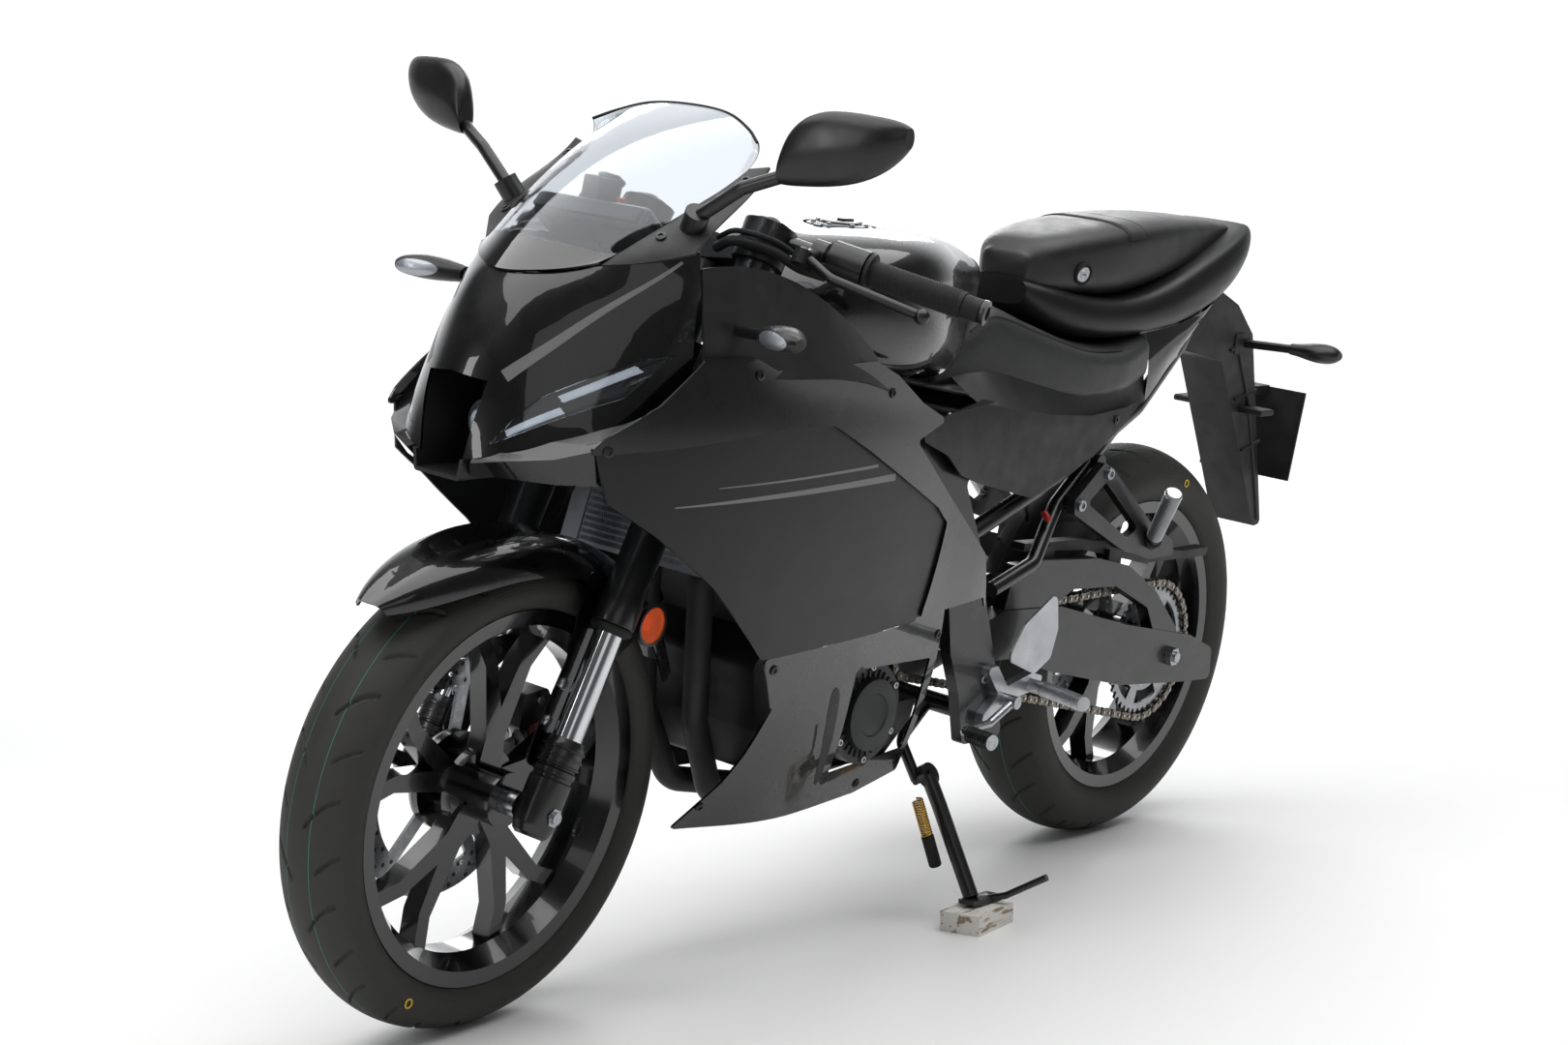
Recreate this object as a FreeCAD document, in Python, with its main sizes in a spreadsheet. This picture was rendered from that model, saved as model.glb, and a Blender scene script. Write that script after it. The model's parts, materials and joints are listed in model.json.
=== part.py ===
import FreeCAD, Part
import math
import os

# A faired sport bike that leans on its side stand, in millimetres.
# The machine is drawn upright: +X to the front, +Y to the rider's left, +Z up, with the origin on the
# floor under the rear axle. What turns with the handlebars is drawn about the front axle, +Z up the
# fork. At the end the whole is leaned on its stand and its origin is set under the middle of its box.

V = FreeCAD.Vector
UP = V(0, 0, 1)
LEFT = V(0, 1, 0)
AHEAD = V(1, 0, 0)
NOWHERE = V(0, 0, 0)

doc = FreeCAD.newDocument("SportBike")
sheet = doc.addObject("Spreadsheet::Sheet", "sizes")

SIZES = {
    # stance
    "wheelbase": 1380, "lean_angle": 7.48, "steer_rest": 3.36, "rake_angle": 25, "fork_offset": 37.7,
    # tyres and rims
    "front_tyre_radius": 293, "rear_tyre_radius": 314, "front_tyre_half": 56, "rear_tyre_half": 70,
    "flange_radius": 232, "seat_radius": 219, "well_radius": 204, "rim_wall": 7,
    "front_bead_half": 39, "rear_bead_half": 51.5, "fit_gap": 0.3,
    "arm_count": 5, "front_arm_depth": 26, "rear_arm_depth": 30,
    "front_hub_radius": 34, "front_hub_half": 48, "rear_hub_radius": 42, "rear_hub_half": 60,
    # brakes and final drive
    "front_disc_radius": 149, "front_disc_inner": 117, "disc_thickness": 4.5, "front_disc_offset": 52,
    "rear_disc_radius": 110, "rear_disc_inner": 78, "rear_disc_offset": 66,
    "chain_pitch": 15.875, "front_teeth": 14, "rear_teeth": 43, "chain_line": 86, "sprocket_plate": 4.4,
    "chain_plate_height": 13, "chain_width": 17,
    # axles
    "front_axle_radius": 7.5, "rear_axle_radius": 8.5,
    # fork, in its own frame: heights are measured up the leg from the axle
    "leg_spacing": 97, "inner_tube_radius": 18.5, "outer_tube_radius": 25, "foot_radius": 26,
    "foot_top": 92, "outer_tube_low": 236, "outer_tube_top": 736, "collar_height": 36,
    "lower_clamp_height": 462, "lower_clamp_depth": 30, "upper_clamp_height": 712,
    "upper_clamp_depth": 24, "stem_radius": 14, "head_tube_radius": 27,
    "bar_radius": 11, "grip_radius": 16.5, "bar_length": 262, "bar_sweep": 18, "bar_drop": 2,
    # panels
    "panel_wall": 3.2, "screen_wall": 3, "fender_wall": 2.6, "fender_radius": 321,
    "mudguard_half": 69.4,
    # rear
    "pivot_x": 538, "pivot_z": 396, "arm_inner": 102, "arm_outer": 129, "plate_inner": 130,
    "plate_outer": 148, "stand_pin_radius": 6,
    "stand_tube_radius": 11, "stand_axis_tilt": 35,
    "block_height": 28,
    "cap_radius": 44,
}
for row, (name, value) in enumerate(SIZES.items(), 1):
    sheet.set(f"A{row}", name)
    sheet.set(f"B{row}", str(value))
    sheet.setAlias(f"B{row}", name)
doc.recompute()


def size(name):
    """The value of one cell of the sheet."""
    return float(sheet.get(name))


GAP = size("fit_gap")
WHEELBASE = size("wheelbase")
DRAWN_WHEELBASE = 1380.0


def at(x, y, z):
    """A point of the upright machine: what lies ahead of the engine moves with the wheelbase."""
    share = min(max((x - 600.0) / 500.0, 0.0), 1.0)
    return V(x + share * (WHEELBASE - DRAWN_WHEELBASE), y, z)


# Wires, faces and solids

def rounded(points, radius):
    """A closed wire through flat points, its corners rounded."""
    count = len(points)
    edges = []
    ends = []
    for i in range(count):
        before, corner, after = points[i - 1], points[i], points[(i + 1) % count]
        back = (before - corner)
        ahead = (after - corner)
        turn = back.getAngle(ahead)
        reach = min(radius / math.tan(turn / 2), 0.45 * back.Length, 0.45 * ahead.Length)
        if radius <= 0 or math.pi - turn < 0.02:
            ends.append((corner, None, corner))
            continue
        start = corner + back.normalize() * reach
        stop = corner + ahead.normalize() * reach
        arm = reach * math.tan(turn / 2)
        middle = (start + stop) * 0.5 - corner
        centre = corner + middle * ((reach / math.cos(turn / 2)) / middle.Length)
        towards = corner - centre
        ends.append((start, centre + towards * (arm / towards.Length), stop))
    for i in range(count):
        start, bow, stop = ends[i]
        if bow is not None:
            edges.append(Part.Arc(start, bow, stop).toShape())
        following = ends[(i + 1) % count][0]
        if (following - stop).Length > 1e-6:
            edges.append(Part.LineSegment(stop, following).toShape())
    return Part.Wire(edges)


def plate(outline, side, thickness, radius=6, holes=()):
    """A side plate: an (x, z) outline at y = side, given a thickness towards +Y."""
    face = Part.Face(rounded([at(x, side, z) for x, z in outline], radius))
    solid = face.extrude(LEFT * thickness)
    for hole in holes:
        cutter = Part.Face(rounded([at(x, side - 1, z) for x, z in hole], radius))
        solid = solid.cut(cutter.extrude(LEFT * (thickness + 2)))
    return solid


def mirrored(shape):
    """The same shape on the other side of the machine."""
    return shape.mirror(NOWHERE, LEFT)


def moved(shape, shift):
    """A copy of a shape, shifted."""
    copy = shape.copy()
    copy.translate(shift)
    return copy


def pair(shape):
    """A left piece and its mirror image, as one compound."""
    return Part.makeCompound([shape, mirrored(shape)])


def fused(*shapes):
    """One solid from overlapping ones."""
    whole = shapes[0].multiFuse(list(shapes[1:]))
    return whole.removeSplitter()


def path_of(points, bend):
    """Straight runs joined by tangent arcs."""
    edges = []
    start = points[0]
    for i in range(1, len(points) - 1):
        back = points[i - 1] - points[i]
        ahead = points[i + 1] - points[i]
        turn = back.getAngle(ahead)
        reach = min(bend / math.tan(turn / 2), 0.45 * back.Length, 0.45 * ahead.Length)
        entry = points[i] + back.normalize() * reach
        leave = points[i] + ahead.normalize() * reach
        arm = reach * math.tan(turn / 2)
        middle = (entry + leave) * 0.5 - points[i]
        centre = points[i] + middle * ((reach / math.cos(turn / 2)) / middle.Length)
        towards = points[i] - centre
        edges.append(Part.LineSegment(start, entry).toShape())
        edges.append(Part.Arc(entry, centre + towards * (arm / towards.Length), leave).toShape())
        start = leave
    edges.append(Part.LineSegment(start, points[-1]).toShape())
    return Part.Wire(edges)


def tube(points, radius, bend=40):
    """A round bar or hose along points."""
    path = path_of(points, bend)
    ring = Part.Wire(Part.makeCircle(radius, points[0], points[1] - points[0]))
    return path.makePipeShell([ring], True, True)


def rod(start, stop, radius):
    """A straight round bar between two points."""
    return Part.makeCylinder(radius, (stop - start).Length, start, stop - start)


def cone(start, stop, first, last):
    """A straight tapered bar between two points."""
    return Part.makeCone(first, last, (stop - start).Length, start, stop - start)


def loop(points):
    """A smooth closed wire through points."""
    curve = Part.BSplineCurve()
    curve.interpolate(Points=points, PeriodicFlag=True)
    return Part.Wire(curve.toShape())


def skinned(wires, ruled=False):
    """A solid whose skin passes through closed wires."""
    return Part.makeLoft(wires, True, ruled)


def faceted(sections):
    """A solid with sharp edges through sections that all have the same number of corners."""
    corners = len(sections[0])
    triangles = []
    for near, far in zip(sections, sections[1:]):
        for i in range(corners):
            j = (i + 1) % corners
            triangles += [(near[i], near[j], far[j]), (near[i], far[j], far[i])]
    for end in (sections[0], sections[-1]):
        triangles += [(end[0], end[i], end[i + 1]) for i in range(1, corners - 1)]
    faces = [Part.Face(Part.makePolygon([a, b, c, a])) for a, b, c in triangles]
    return Part.Solid(Part.makeShell(faces))


def ring_of(x, middle, low, high, half, power, count=14):
    """A closed cross-section at x: a rounded box between two heights, |y| up to half."""
    points = []
    for i in range(count):
        angle = 2 * math.pi * (i + 0.5) / count
        across, up = math.cos(angle), math.sin(angle)
        tall = (high - middle) if up > 0 else (middle - low)
        y = half * math.copysign(abs(across) ** power, across)
        z = middle + tall * math.copysign(abs(up) ** power, up)
        points.append(at(x, y, z))
    return loop(points)


def skin_through(grid):
    """A smooth surface through the rows of a grid."""
    wires = []
    for row_points in grid:
        curve = Part.BSplineCurve()
        curve.interpolate(row_points)
        wires.append(Part.Wire(curve.toShape()))
    return Part.makeLoft(wires, False, False).Faces[0].Surface


def shell_between(skin, lining):
    """A solid between two surfaces, closed along their four sides."""
    u_low, u_high, v_low, v_high = skin.bounds()
    s_low, s_high, t_low, t_high = lining.bounds()
    rims = [(skin.uIso(u_low), lining.uIso(s_low)), (skin.uIso(u_high), lining.uIso(s_high)),
            (skin.vIso(v_low), lining.vIso(t_low)), (skin.vIso(v_high), lining.vIso(t_high))]
    faces = [skin.toShape(), lining.toShape()]
    faces += [Part.makeRuledSurface(a.toShape(), b.toShape()) for a, b in rims]
    shell = Part.makeShell(faces)
    shell.sewShape(1e-2)
    solid = Part.makeSolid(shell)
    if solid.Volume < 0:
        solid.reverse()
    return solid


def offset_grid(grid, distance, centre):
    """The grid moved by a distance along its normals, away from a centre."""
    rows, columns = len(grid), len(grid[0])
    moved = []
    for i in range(rows):
        line = []
        for j in range(columns):
            along = grid[min(i + 1, rows - 1)][j] - grid[max(i - 1, 0)][j]
            across = grid[i][min(j + 1, columns - 1)] - grid[i][max(j - 1, 0)]
            normal = along.cross(across)
            normal.normalize()
            if normal.dot(grid[i][j] - centre) < 0:
                normal = normal * -1
            line.append(grid[i][j] + normal * distance)
        moved.append(line)
    return moved


def both_sides(rows):
    """A grid across the machine from rows that start on its middle line."""
    return [[at(x, -y, z) for x, y, z in reversed(row[1:])] + [at(*spot) for spot in row]
            for row in rows]


def panel(grid, wall, centre):
    """A panel whose outer skin passes through the grid and whose wall lies inwards of it."""
    return shell_between(skin_through(grid), skin_through(offset_grid(grid, -wall, centre)))


# Document objects

def plane(body, role):
    """An origin plane or axis of a body."""
    return [item for item in body.Origin.OriginFeatures if item.Role == role][0]


def sketch_on(body, name, role, loops):
    """A sketch of closed loops; a loop is points, (centre, radius), or points with bows between."""
    sketch = body.newObject("Sketcher::SketchObject", name)
    sketch.AttachmentSupport = [(plane(body, role), "")]
    sketch.MapMode = "FlatFace"
    for points in loops:
        if isinstance(points[1], (int, float)):
            centre = V(points[0][0], points[0][1], 0)
            sketch.addGeometry(Part.Circle(centre, UP, points[1]), False)
            continue
        index = 0
        total = len(points)
        while index < total:
            start = points[index]
            following = points[(index + 1) % total]
            if len(following) == 3:
                stop = points[(index + 2) % total]
                arc = Part.Arc(V(start[0], start[1], 0), V(following[0], following[1], 0),
                               V(stop[0], stop[1], 0))
                sketch.addGeometry(arc, False)
                index += 2
            else:
                line = Part.LineSegment(V(start[0], start[1], 0), V(following[0], following[1], 0))
                sketch.addGeometry(line, False)
                index += 1
    return sketch


def turned(body, name, loops, sketch_role="XY_Plane", axis="V_Axis", cut=False):
    """A revolved feature, or a groove, of a body."""
    sketch = sketch_on(body, name + "_profile", sketch_role, loops)
    kind = "PartDesign::Groove" if cut else "PartDesign::Revolution"
    feature = body.newObject(kind, name)
    feature.Profile = sketch
    feature.ReferenceAxis = (sketch, [axis])
    feature.Angle = 360
    return feature


def raised(body, name, loops, depth, role="XZ_Plane", cut=False):
    """A pad or pocket, symmetric about its plane; the depth is an expression or a number."""
    sketch = sketch_on(body, name + "_outline", role, loops)
    feature = body.newObject("PartDesign::Pocket" if cut else "PartDesign::Pad", name)
    feature.Profile = sketch
    feature.SideType = "Symmetric"
    if isinstance(depth, str):
        feature.setExpression("Length", depth)
    else:
        feature.Length = depth
    return feature


def repeated(body, name, features, count):
    """Features repeated about the body's Y axis."""
    pattern = body.newObject("PartDesign::PolarPattern", name)
    pattern.Originals = features
    pattern.Axis = (plane(body, "Y_Axis"), [""])
    pattern.Angle = 360
    if isinstance(count, str):
        pattern.setExpression("Occurrences", count)
    else:
        pattern.Occurrences = count
    body.Tip = pattern
    return pattern


pieces = []


def placements(shift):
    """The frames in which the sub-parts are drawn, for a given shift of the origin."""
    lean = FreeCAD.Placement(NOWHERE, FreeCAD.Rotation(AHEAD, -size("lean_angle")))
    bike = FreeCAD.Placement(shift, FreeCAD.Rotation()) * lean
    axle = V(WHEELBASE, 0, size("front_tyre_radius"))
    raked = FreeCAD.Placement(axle, FreeCAD.Rotation(LEFT, -size("rake_angle")))
    axis = V(-size("fork_offset"), 0, 0)
    steer = FreeCAD.Placement(NOWHERE, FreeCAD.Rotation(UP, size("steer_rest")), axis)
    fork = bike * raked * steer
    return {
        "floor": FreeCAD.Placement(V(shift.x, shift.y, 0), FreeCAD.Rotation()),
        "bike": bike,
        "fork": fork,
        "front_wheel": fork,
        "rear_wheel": bike * FreeCAD.Placement(V(0, 0, size("rear_tyre_radius")), FreeCAD.Rotation()),
    }


def lowest_tyre():
    """How far the leaned tyres reach below the floor that the upright ones stand on."""
    doc.recompute()
    frames = placements(NOWHERE)
    lowest = []
    for item, frame, own in pieces:
        if item.Label.endswith("tyre"):
            tyre = item.Shape.copy()
            tyre.Placement = frames[frame] * own
            lowest.append(tyre.optimalBoundingBox(True, False).ZMin)
    return min(lowest)


def new_body(label, frame):
    """A body that is one sub-part."""
    body = doc.addObject("PartDesign::Body", label)
    body.Label = label
    pieces.append((body, frame, FreeCAD.Placement()))
    return body


def new_piece(label, shape, frame="bike"):
    """A sub-part whose shape is made by the functions above."""
    feature = doc.addObject("Part::Feature", label)
    feature.Label = label
    feature.Shape = shape
    pieces.append((feature, frame, FreeCAD.Placement(shape.Placement)))
    return feature


# Wheels

def rim_section(bead_half):
    """Half of a well-base rim: flanges, bead seats and the well between them."""
    flange = size("flange_radius")
    seat = size("seat_radius")
    well = size("well_radius")
    wall = size("rim_wall")
    lip = bead_half + 5
    well_half = bead_half - 20
    return [(flange, lip), (flange, bead_half), (seat, bead_half - 2), (seat - 3, bead_half - 14),
            (well, well_half), (well, -well_half), (seat - 3, 14 - bead_half),
            (seat, 2 - bead_half), (flange, -bead_half), (flange, -lip),
            (seat - wall + 1, -lip + 2), (well - wall, -well_half + 2), (well - wall, well_half - 2),
            (seat - wall + 1, lip - 2)]


def arm_outline(inner, well, spread):
    """A Y-shaped wheel arm: one root at the hub, two ends at the rim, an open fork between."""
    end = well - 3
    return [(inner, -21), (inner + 40, -17), (end - 46, -spread * 0.62), (end, -spread - 12),
            (end, -spread + 14), (end - 40, -spread * 0.5 + 12), (inner + 74, 0),
            (end - 40, spread * 0.5 - 12), (end, spread - 14), (end, spread + 12),
            (end - 46, spread * 0.62), (inner + 40, 17), (inner, 21)]


def make_rim(label, frame, bead_half, hub_radius, hub_half, depth, bore, flanges):
    """A cast wheel: rim, Y-shaped arms and a bored hub with its flanges."""
    body = new_body(label, frame)
    turned(body, "rim_" + label, [rim_section(bead_half)])
    hub = [(bore, -hub_half), (hub_radius, -hub_half), (hub_radius, -depth * 0.4),
           (hub_radius + 20, -depth * 0.3), (hub_radius + 20, depth * 0.3),
           (hub_radius, depth * 0.4), (hub_radius, hub_half), (bore, hub_half)]
    arms = raised(body, "arm_" + label, [arm_outline(hub_radius - 4, size("well_radius"), 66)], depth)
    repeated(body, "arms_" + label, [arms], "sizes.arm_count")
    turned(body, "hub_" + label, [hub])
    for number, (radius, start, stop) in enumerate(flanges):
        turned(body, f"flange_{label}_{number}",
               [[(bore + 6, start), (radius, start), (radius, stop), (bore + 6, stop)]])
    return body


def tyre_section(radius, half, bead_half):
    """A tyre on its bead seats: round crown, bulged walls."""
    flange = size("flange_radius")
    seat = size("seat_radius") + GAP
    rest = bead_half - 2 - GAP
    shoulder = half * 0.92
    edge = radius - half * 0.42
    lip = bead_half + 5 + 1
    return [(seat, -rest), (flange + GAP, -bead_half + GAP * 2), (flange + 2, -lip),
            ((flange + edge) / 2, -half, 0), (edge, -shoulder), (radius, 0, 0), (edge, shoulder),
            ((flange + edge) / 2, half, 0), (flange + 2, lip),
            (flange + GAP, bead_half - GAP * 2), (seat, rest)]


def make_tyre(label, frame, radius, half, bead_half):
    """A tyre as one closed ring."""
    body = new_body(label, frame)
    turned(body, "ring_" + label, [tyre_section(radius, half, bead_half)])
    return body


def make_wheels():
    """Both wheels: rims, tyres, discs and the rear sprocket."""
    front_half = size("front_bead_half")
    rear_half = size("rear_bead_half")
    front_bore = size("front_axle_radius") + 6
    rear_bore = size("rear_axle_radius") + 6
    front_seat = size("front_disc_offset") - size("disc_thickness") / 2
    rear_seat = size("rear_disc_offset") - size("disc_thickness") / 2
    sprocket_seat = size("chain_line") - size("sprocket_plate") / 2
    make_rim("front_rim", "front_wheel", front_half, size("front_hub_radius"),
             size("front_hub_half"), size("front_arm_depth"), front_bore,
             [(62, -front_seat, -front_seat + 10)])
    make_rim("rear_rim", "rear_wheel", rear_half, size("rear_hub_radius"), size("rear_hub_half"),
             size("rear_arm_depth"), rear_bore,
             [(58, -rear_seat, -rear_seat + 12), (66, sprocket_seat - 24, sprocket_seat)])
    make_tyre("front_tyre", "front_wheel", size("front_tyre_radius"), size("front_tyre_half"),
              front_half)
    make_tyre("rear_tyre", "rear_wheel", size("rear_tyre_radius"), size("rear_tyre_half"), rear_half)
    flat_disc("front_disc", "front_wheel", size("front_disc_radius"), size("front_disc_inner"),
              -size("front_disc_offset"), 36, 52, 5)
    flat_disc("rear_disc", "rear_wheel", size("rear_disc_radius"), size("rear_disc_inner"),
              -size("rear_disc_offset"), 34, 50, 5)
    make_sprocket()


def spokes_between(inner, outer, half_width, count, side, thickness):
    """Flat arms from one ring to another, about the Y axis."""
    arms = []
    for number in range(int(count)):
        bar = Part.makeBox(outer - inner, thickness, 2 * half_width, V(inner, side, -half_width))
        bar.rotate(NOWHERE, LEFT, 360.0 * number / count)
        arms.append(bar)
    return arms


def washer(outer, inner, side, thickness):
    """A flat ring about the Y axis."""
    ring = Part.makeCylinder(outer, thickness, V(0, side, 0), LEFT)
    return ring.cut(Part.makeCylinder(inner, thickness, V(0, side, 0), LEFT))


def flat_disc(label, frame, outer, inner, offset, seat, bolt_circle, count):
    """A brake disc drilled with rows of holes, with a carrier bolted to the hub."""
    thickness = size("disc_thickness")
    side = offset - thickness / 2
    ring = washer(outer, inner, side, thickness)
    holes = []
    rows = 3
    for number in range(24):
        reach = inner + (outer - inner) * (0.22 + 0.28 * (number % rows))
        angle = math.radians(360.0 * number / 24)
        start = V(reach * math.cos(angle), side, reach * math.sin(angle))
        holes.append(Part.makeCylinder(3.2, thickness, start, LEFT))
    ring = ring.cut(Part.makeCompound(holes))
    centre = washer(bolt_circle + 9, seat, side, thickness)
    arms = spokes_between(bolt_circle, inner + 4, 9, count, side, thickness)
    return new_piece(label, fused(ring, centre, *arms), frame)


def pitch_radius(teeth):
    """The radius on which a chain's pins lie round a sprocket."""
    return size("chain_pitch") / (2 * math.sin(math.pi / teeth))


def make_sprocket():
    """The rear sprocket, its tips just inside the rollers that lie round it."""
    teeth = int(size("rear_teeth"))
    tip = pitch_radius(teeth) - 5.08 - 2 * GAP
    root = tip - 7
    side = size("chain_line") - size("sprocket_plate") / 2
    points = []
    for number in range(teeth):
        middle = 2 * math.pi * number / teeth
        step = 2 * math.pi / teeth
        for share, reach in ((-0.34, root), (-0.14, tip), (0.14, tip), (0.34, root)):
            angle = middle + share * step
            points.append(V(reach * math.cos(angle), side, reach * math.sin(angle)))
    disc = Part.Face(Part.makePolygon(points + points[:1])).extrude(LEFT * size("sprocket_plate"))
    disc = disc.cut(Part.makeCylinder(size("rear_axle_radius") + 8, 30, V(0, side - 5, 0), LEFT))
    windows = []
    for number in range(6):
        window = washer(root - 9, 66, side - 1, size("sprocket_plate") + 2)
        wedge = Part.makeBox(200, 20, 200, V(0, side - 5, 0))
        half = Part.makeBox(200, 20, 200, V(0, side - 5, 0))
        half.rotate(NOWHERE, LEFT, 48)
        slot = window.common(wedge).common(half)
        slot.rotate(NOWHERE, LEFT, 60.0 * number)
        windows.append(slot)
    return new_piece("rear_sprocket", disc.cut(Part.makeCompound(windows)), "rear_wheel")


# Fork and steering, drawn about the front axle with +Z up the legs

def revolved(profile, centre):
    """A solid turned about a vertical line from (radius, height) pairs."""
    points = [V(centre.x + radius, centre.y, height) for radius, height in profile]
    face = Part.Face(Part.makePolygon(points + points[:1]))
    return face.revolve(centre, UP, 360)


def make_fork():
    """Outer tubes, inner tubes, feet, axle and clamps."""
    spread = size("leg_spacing")
    inner = size("inner_tube_radius")
    outer = size("outer_tube_radius")
    foot_top = size("foot_top")
    low = size("outer_tube_low")
    top = size("outer_tube_top")
    collar = size("collar_height")
    bore = inner + GAP
    leg = V(0, spread, 0)
    tube_profile = [(bore, low), (outer - 1, low), (outer + 2, low + 3), (outer + 2, low + collar - 4),
                    (outer, low + collar), (outer, top - 4), (outer - 3, top), (0, top),
                    (0, top - 12), (bore, top - 12)]
    new_piece("fork_outer_tubes", pair(revolved(tube_profile, leg)), "fork")
    socket = foot_top - 40
    inner_tube = Part.makeCylinder(inner, low + 120 - socket, V(0, spread, socket), UP)
    new_piece("fork_inner_tubes", pair(inner_tube), "fork")
    radius = size("foot_radius")
    foot_profile = [(0, -30), (radius - 9, -30), (radius - 4, -26), (radius, -14), (radius, 40),
                    (radius - 2, 42), (radius - 2, 46), (radius, 48), (radius, 54), (radius - 2, 56),
                    (radius - 2, 60), (radius, 62), (radius, foot_top - 8), (radius - 3, foot_top),
                    (bore, foot_top), (bore, socket), (0, socket)]
    axle = size("front_axle_radius")
    foot = revolved(foot_profile, leg)
    foot = foot.cut(Part.makeCylinder(axle + GAP, 80, V(0, spread - 40, 0), LEFT))
    lug = plate_in_fork([(-18, 62), (-60, 100), (-60, 128), (-44, 128), (-12, 88)], -spread - 8, 12)
    right = fused(mirrored(foot), lug).cut(
        Part.makeCylinder(bore, low, V(0, -spread, socket), UP))
    new_piece("fork_feet", Part.makeCompound([foot, right]), "fork")
    rod_end = spread + radius
    shaft = Part.makeCylinder(axle, 2 * rod_end + 10, V(0, -rod_end - 5, 0), LEFT)
    nut = Part.makeCylinder(13, 10, V(0, rod_end - 9, 0), LEFT)
    nut = nut.common(hexagon(12, rod_end + GAP, 9))
    head = Part.makeCylinder(12, 6, V(0, -rod_end - 6 - GAP, 0), LEFT)
    face = size("front_hub_half") + GAP
    spacer = Part.makeCylinder(axle + 9, spread - radius - face, V(0, face, 0), LEFT)
    far = size("front_disc_offset") + size("disc_thickness") / 2 + 2
    far_spacer = Part.makeCylinder(axle + 9, spread - radius - far, V(0, -spread + radius, 0), LEFT)
    new_piece("front_axle", fused(shaft, nut, head, spacer, far_spacer), "fork")
    make_clamps(spread, outer)


def hexagon(radius, side, thickness):
    """A hexagonal prism about the Y axis."""
    points = [V(radius * math.cos(math.radians(60 * i)), side, radius * math.sin(math.radians(60 * i)))
              for i in range(6)]
    return Part.Face(Part.makePolygon(points + points[:1])).extrude(LEFT * thickness)


def plate_in_fork(outline, side, thickness, radius=4):
    """A side plate in the fork's own frame."""
    face = Part.Face(rounded([V(x, side, z) for x, z in outline], radius))
    return face.extrude(LEFT * thickness)


def make_clamps(spread, outer):
    """Upper and lower triple clamps with the stem between them."""
    back = -size("fork_offset")
    stem = size("stem_radius")
    solids = []
    for height, depth in ((size("lower_clamp_height"), size("lower_clamp_depth")),
                          (size("upper_clamp_height"), size("upper_clamp_depth"))):
        reach = outer + 8
        outline = [V(back - 26, -30, height), V(back - 26, 30, height), V(-reach + 6, spread + 14, height),
                   V(0, spread + reach, height), V(reach - 4, spread + 14, height),
                   V(6, spread - 34, height), V(-14, 0, height), V(6, -spread + 34, height),
                   V(reach - 4, -spread - 14, height), V(0, -spread - reach, height),
                   V(-reach + 6, -spread - 14, height)]
        body = Part.Face(rounded(outline, 12)).extrude(UP * depth)
        for side in (-spread, spread):
            body = body.fuse(Part.makeCylinder(reach, depth, V(0, side, height), UP))
            body = body.cut(Part.makeCylinder(outer + GAP, depth, V(0, side, height), UP))
        solids.append(body)
    low = size("lower_clamp_height")
    high = size("upper_clamp_height") + size("upper_clamp_depth") + 12
    solids.append(Part.makeCylinder(stem, high - low, V(back, 0, low), UP))
    solids.append(Part.makeCylinder(stem + 7, 12, V(back, 0, high - 12), UP))
    clamp = fused(*solids)
    clamp = clamp.cut(Part.makeCylinder(stem - 4, 40, V(back, 0, low), UP))
    new_piece("triple_clamps", clamp, "fork")


def bar_direction(side):
    """The unit direction of a handlebar, outwards, for the left (1) or right (-1) side."""
    sweep = math.radians(size("bar_sweep"))
    drop = math.radians(size("bar_drop"))
    return V(-math.sin(sweep) * math.cos(drop), side * math.cos(sweep) * math.cos(drop), -math.sin(drop))


def make_bars():
    """Clip-on bars above the upper clamp, grips, switch housings and levers."""
    spread = size("leg_spacing")
    outer = size("outer_tube_radius")
    height = size("upper_clamp_height") + size("upper_clamp_depth") + GAP
    ring_radius = outer + 9
    root = V(0, spread, height + 12)
    along = bar_direction(1)
    ring = Part.makeCylinder(ring_radius, 26, V(0, spread, height), UP)
    start = root + along * (outer + 4)
    end = root + along * size("bar_length")
    bar = rod(start, end, size("bar_radius"))
    clip = fused(ring, bar).cut(Part.makeCylinder(outer + GAP, 40, V(0, spread, height - 5), UP))
    new_piece("handlebars", pair(clip), "fork")
    grip_start = root + along * (size("bar_length") - 126)
    grip = rod(grip_start, end, size("grip_radius"))
    flange = rod(grip_start, grip_start + along * 5, size("grip_radius") + 7)
    weight = rod(end + along * GAP, end + along * 22, size("grip_radius") - 2)
    sleeve = fused(grip, flange).cut(rod(grip_start - along * 5, end + along * GAP, size("bar_radius") + GAP))
    new_piece("grips", Part.makeCompound([sleeve, weight, mirrored(sleeve), mirrored(weight)]), "fork")
    make_controls(root, along)


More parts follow.
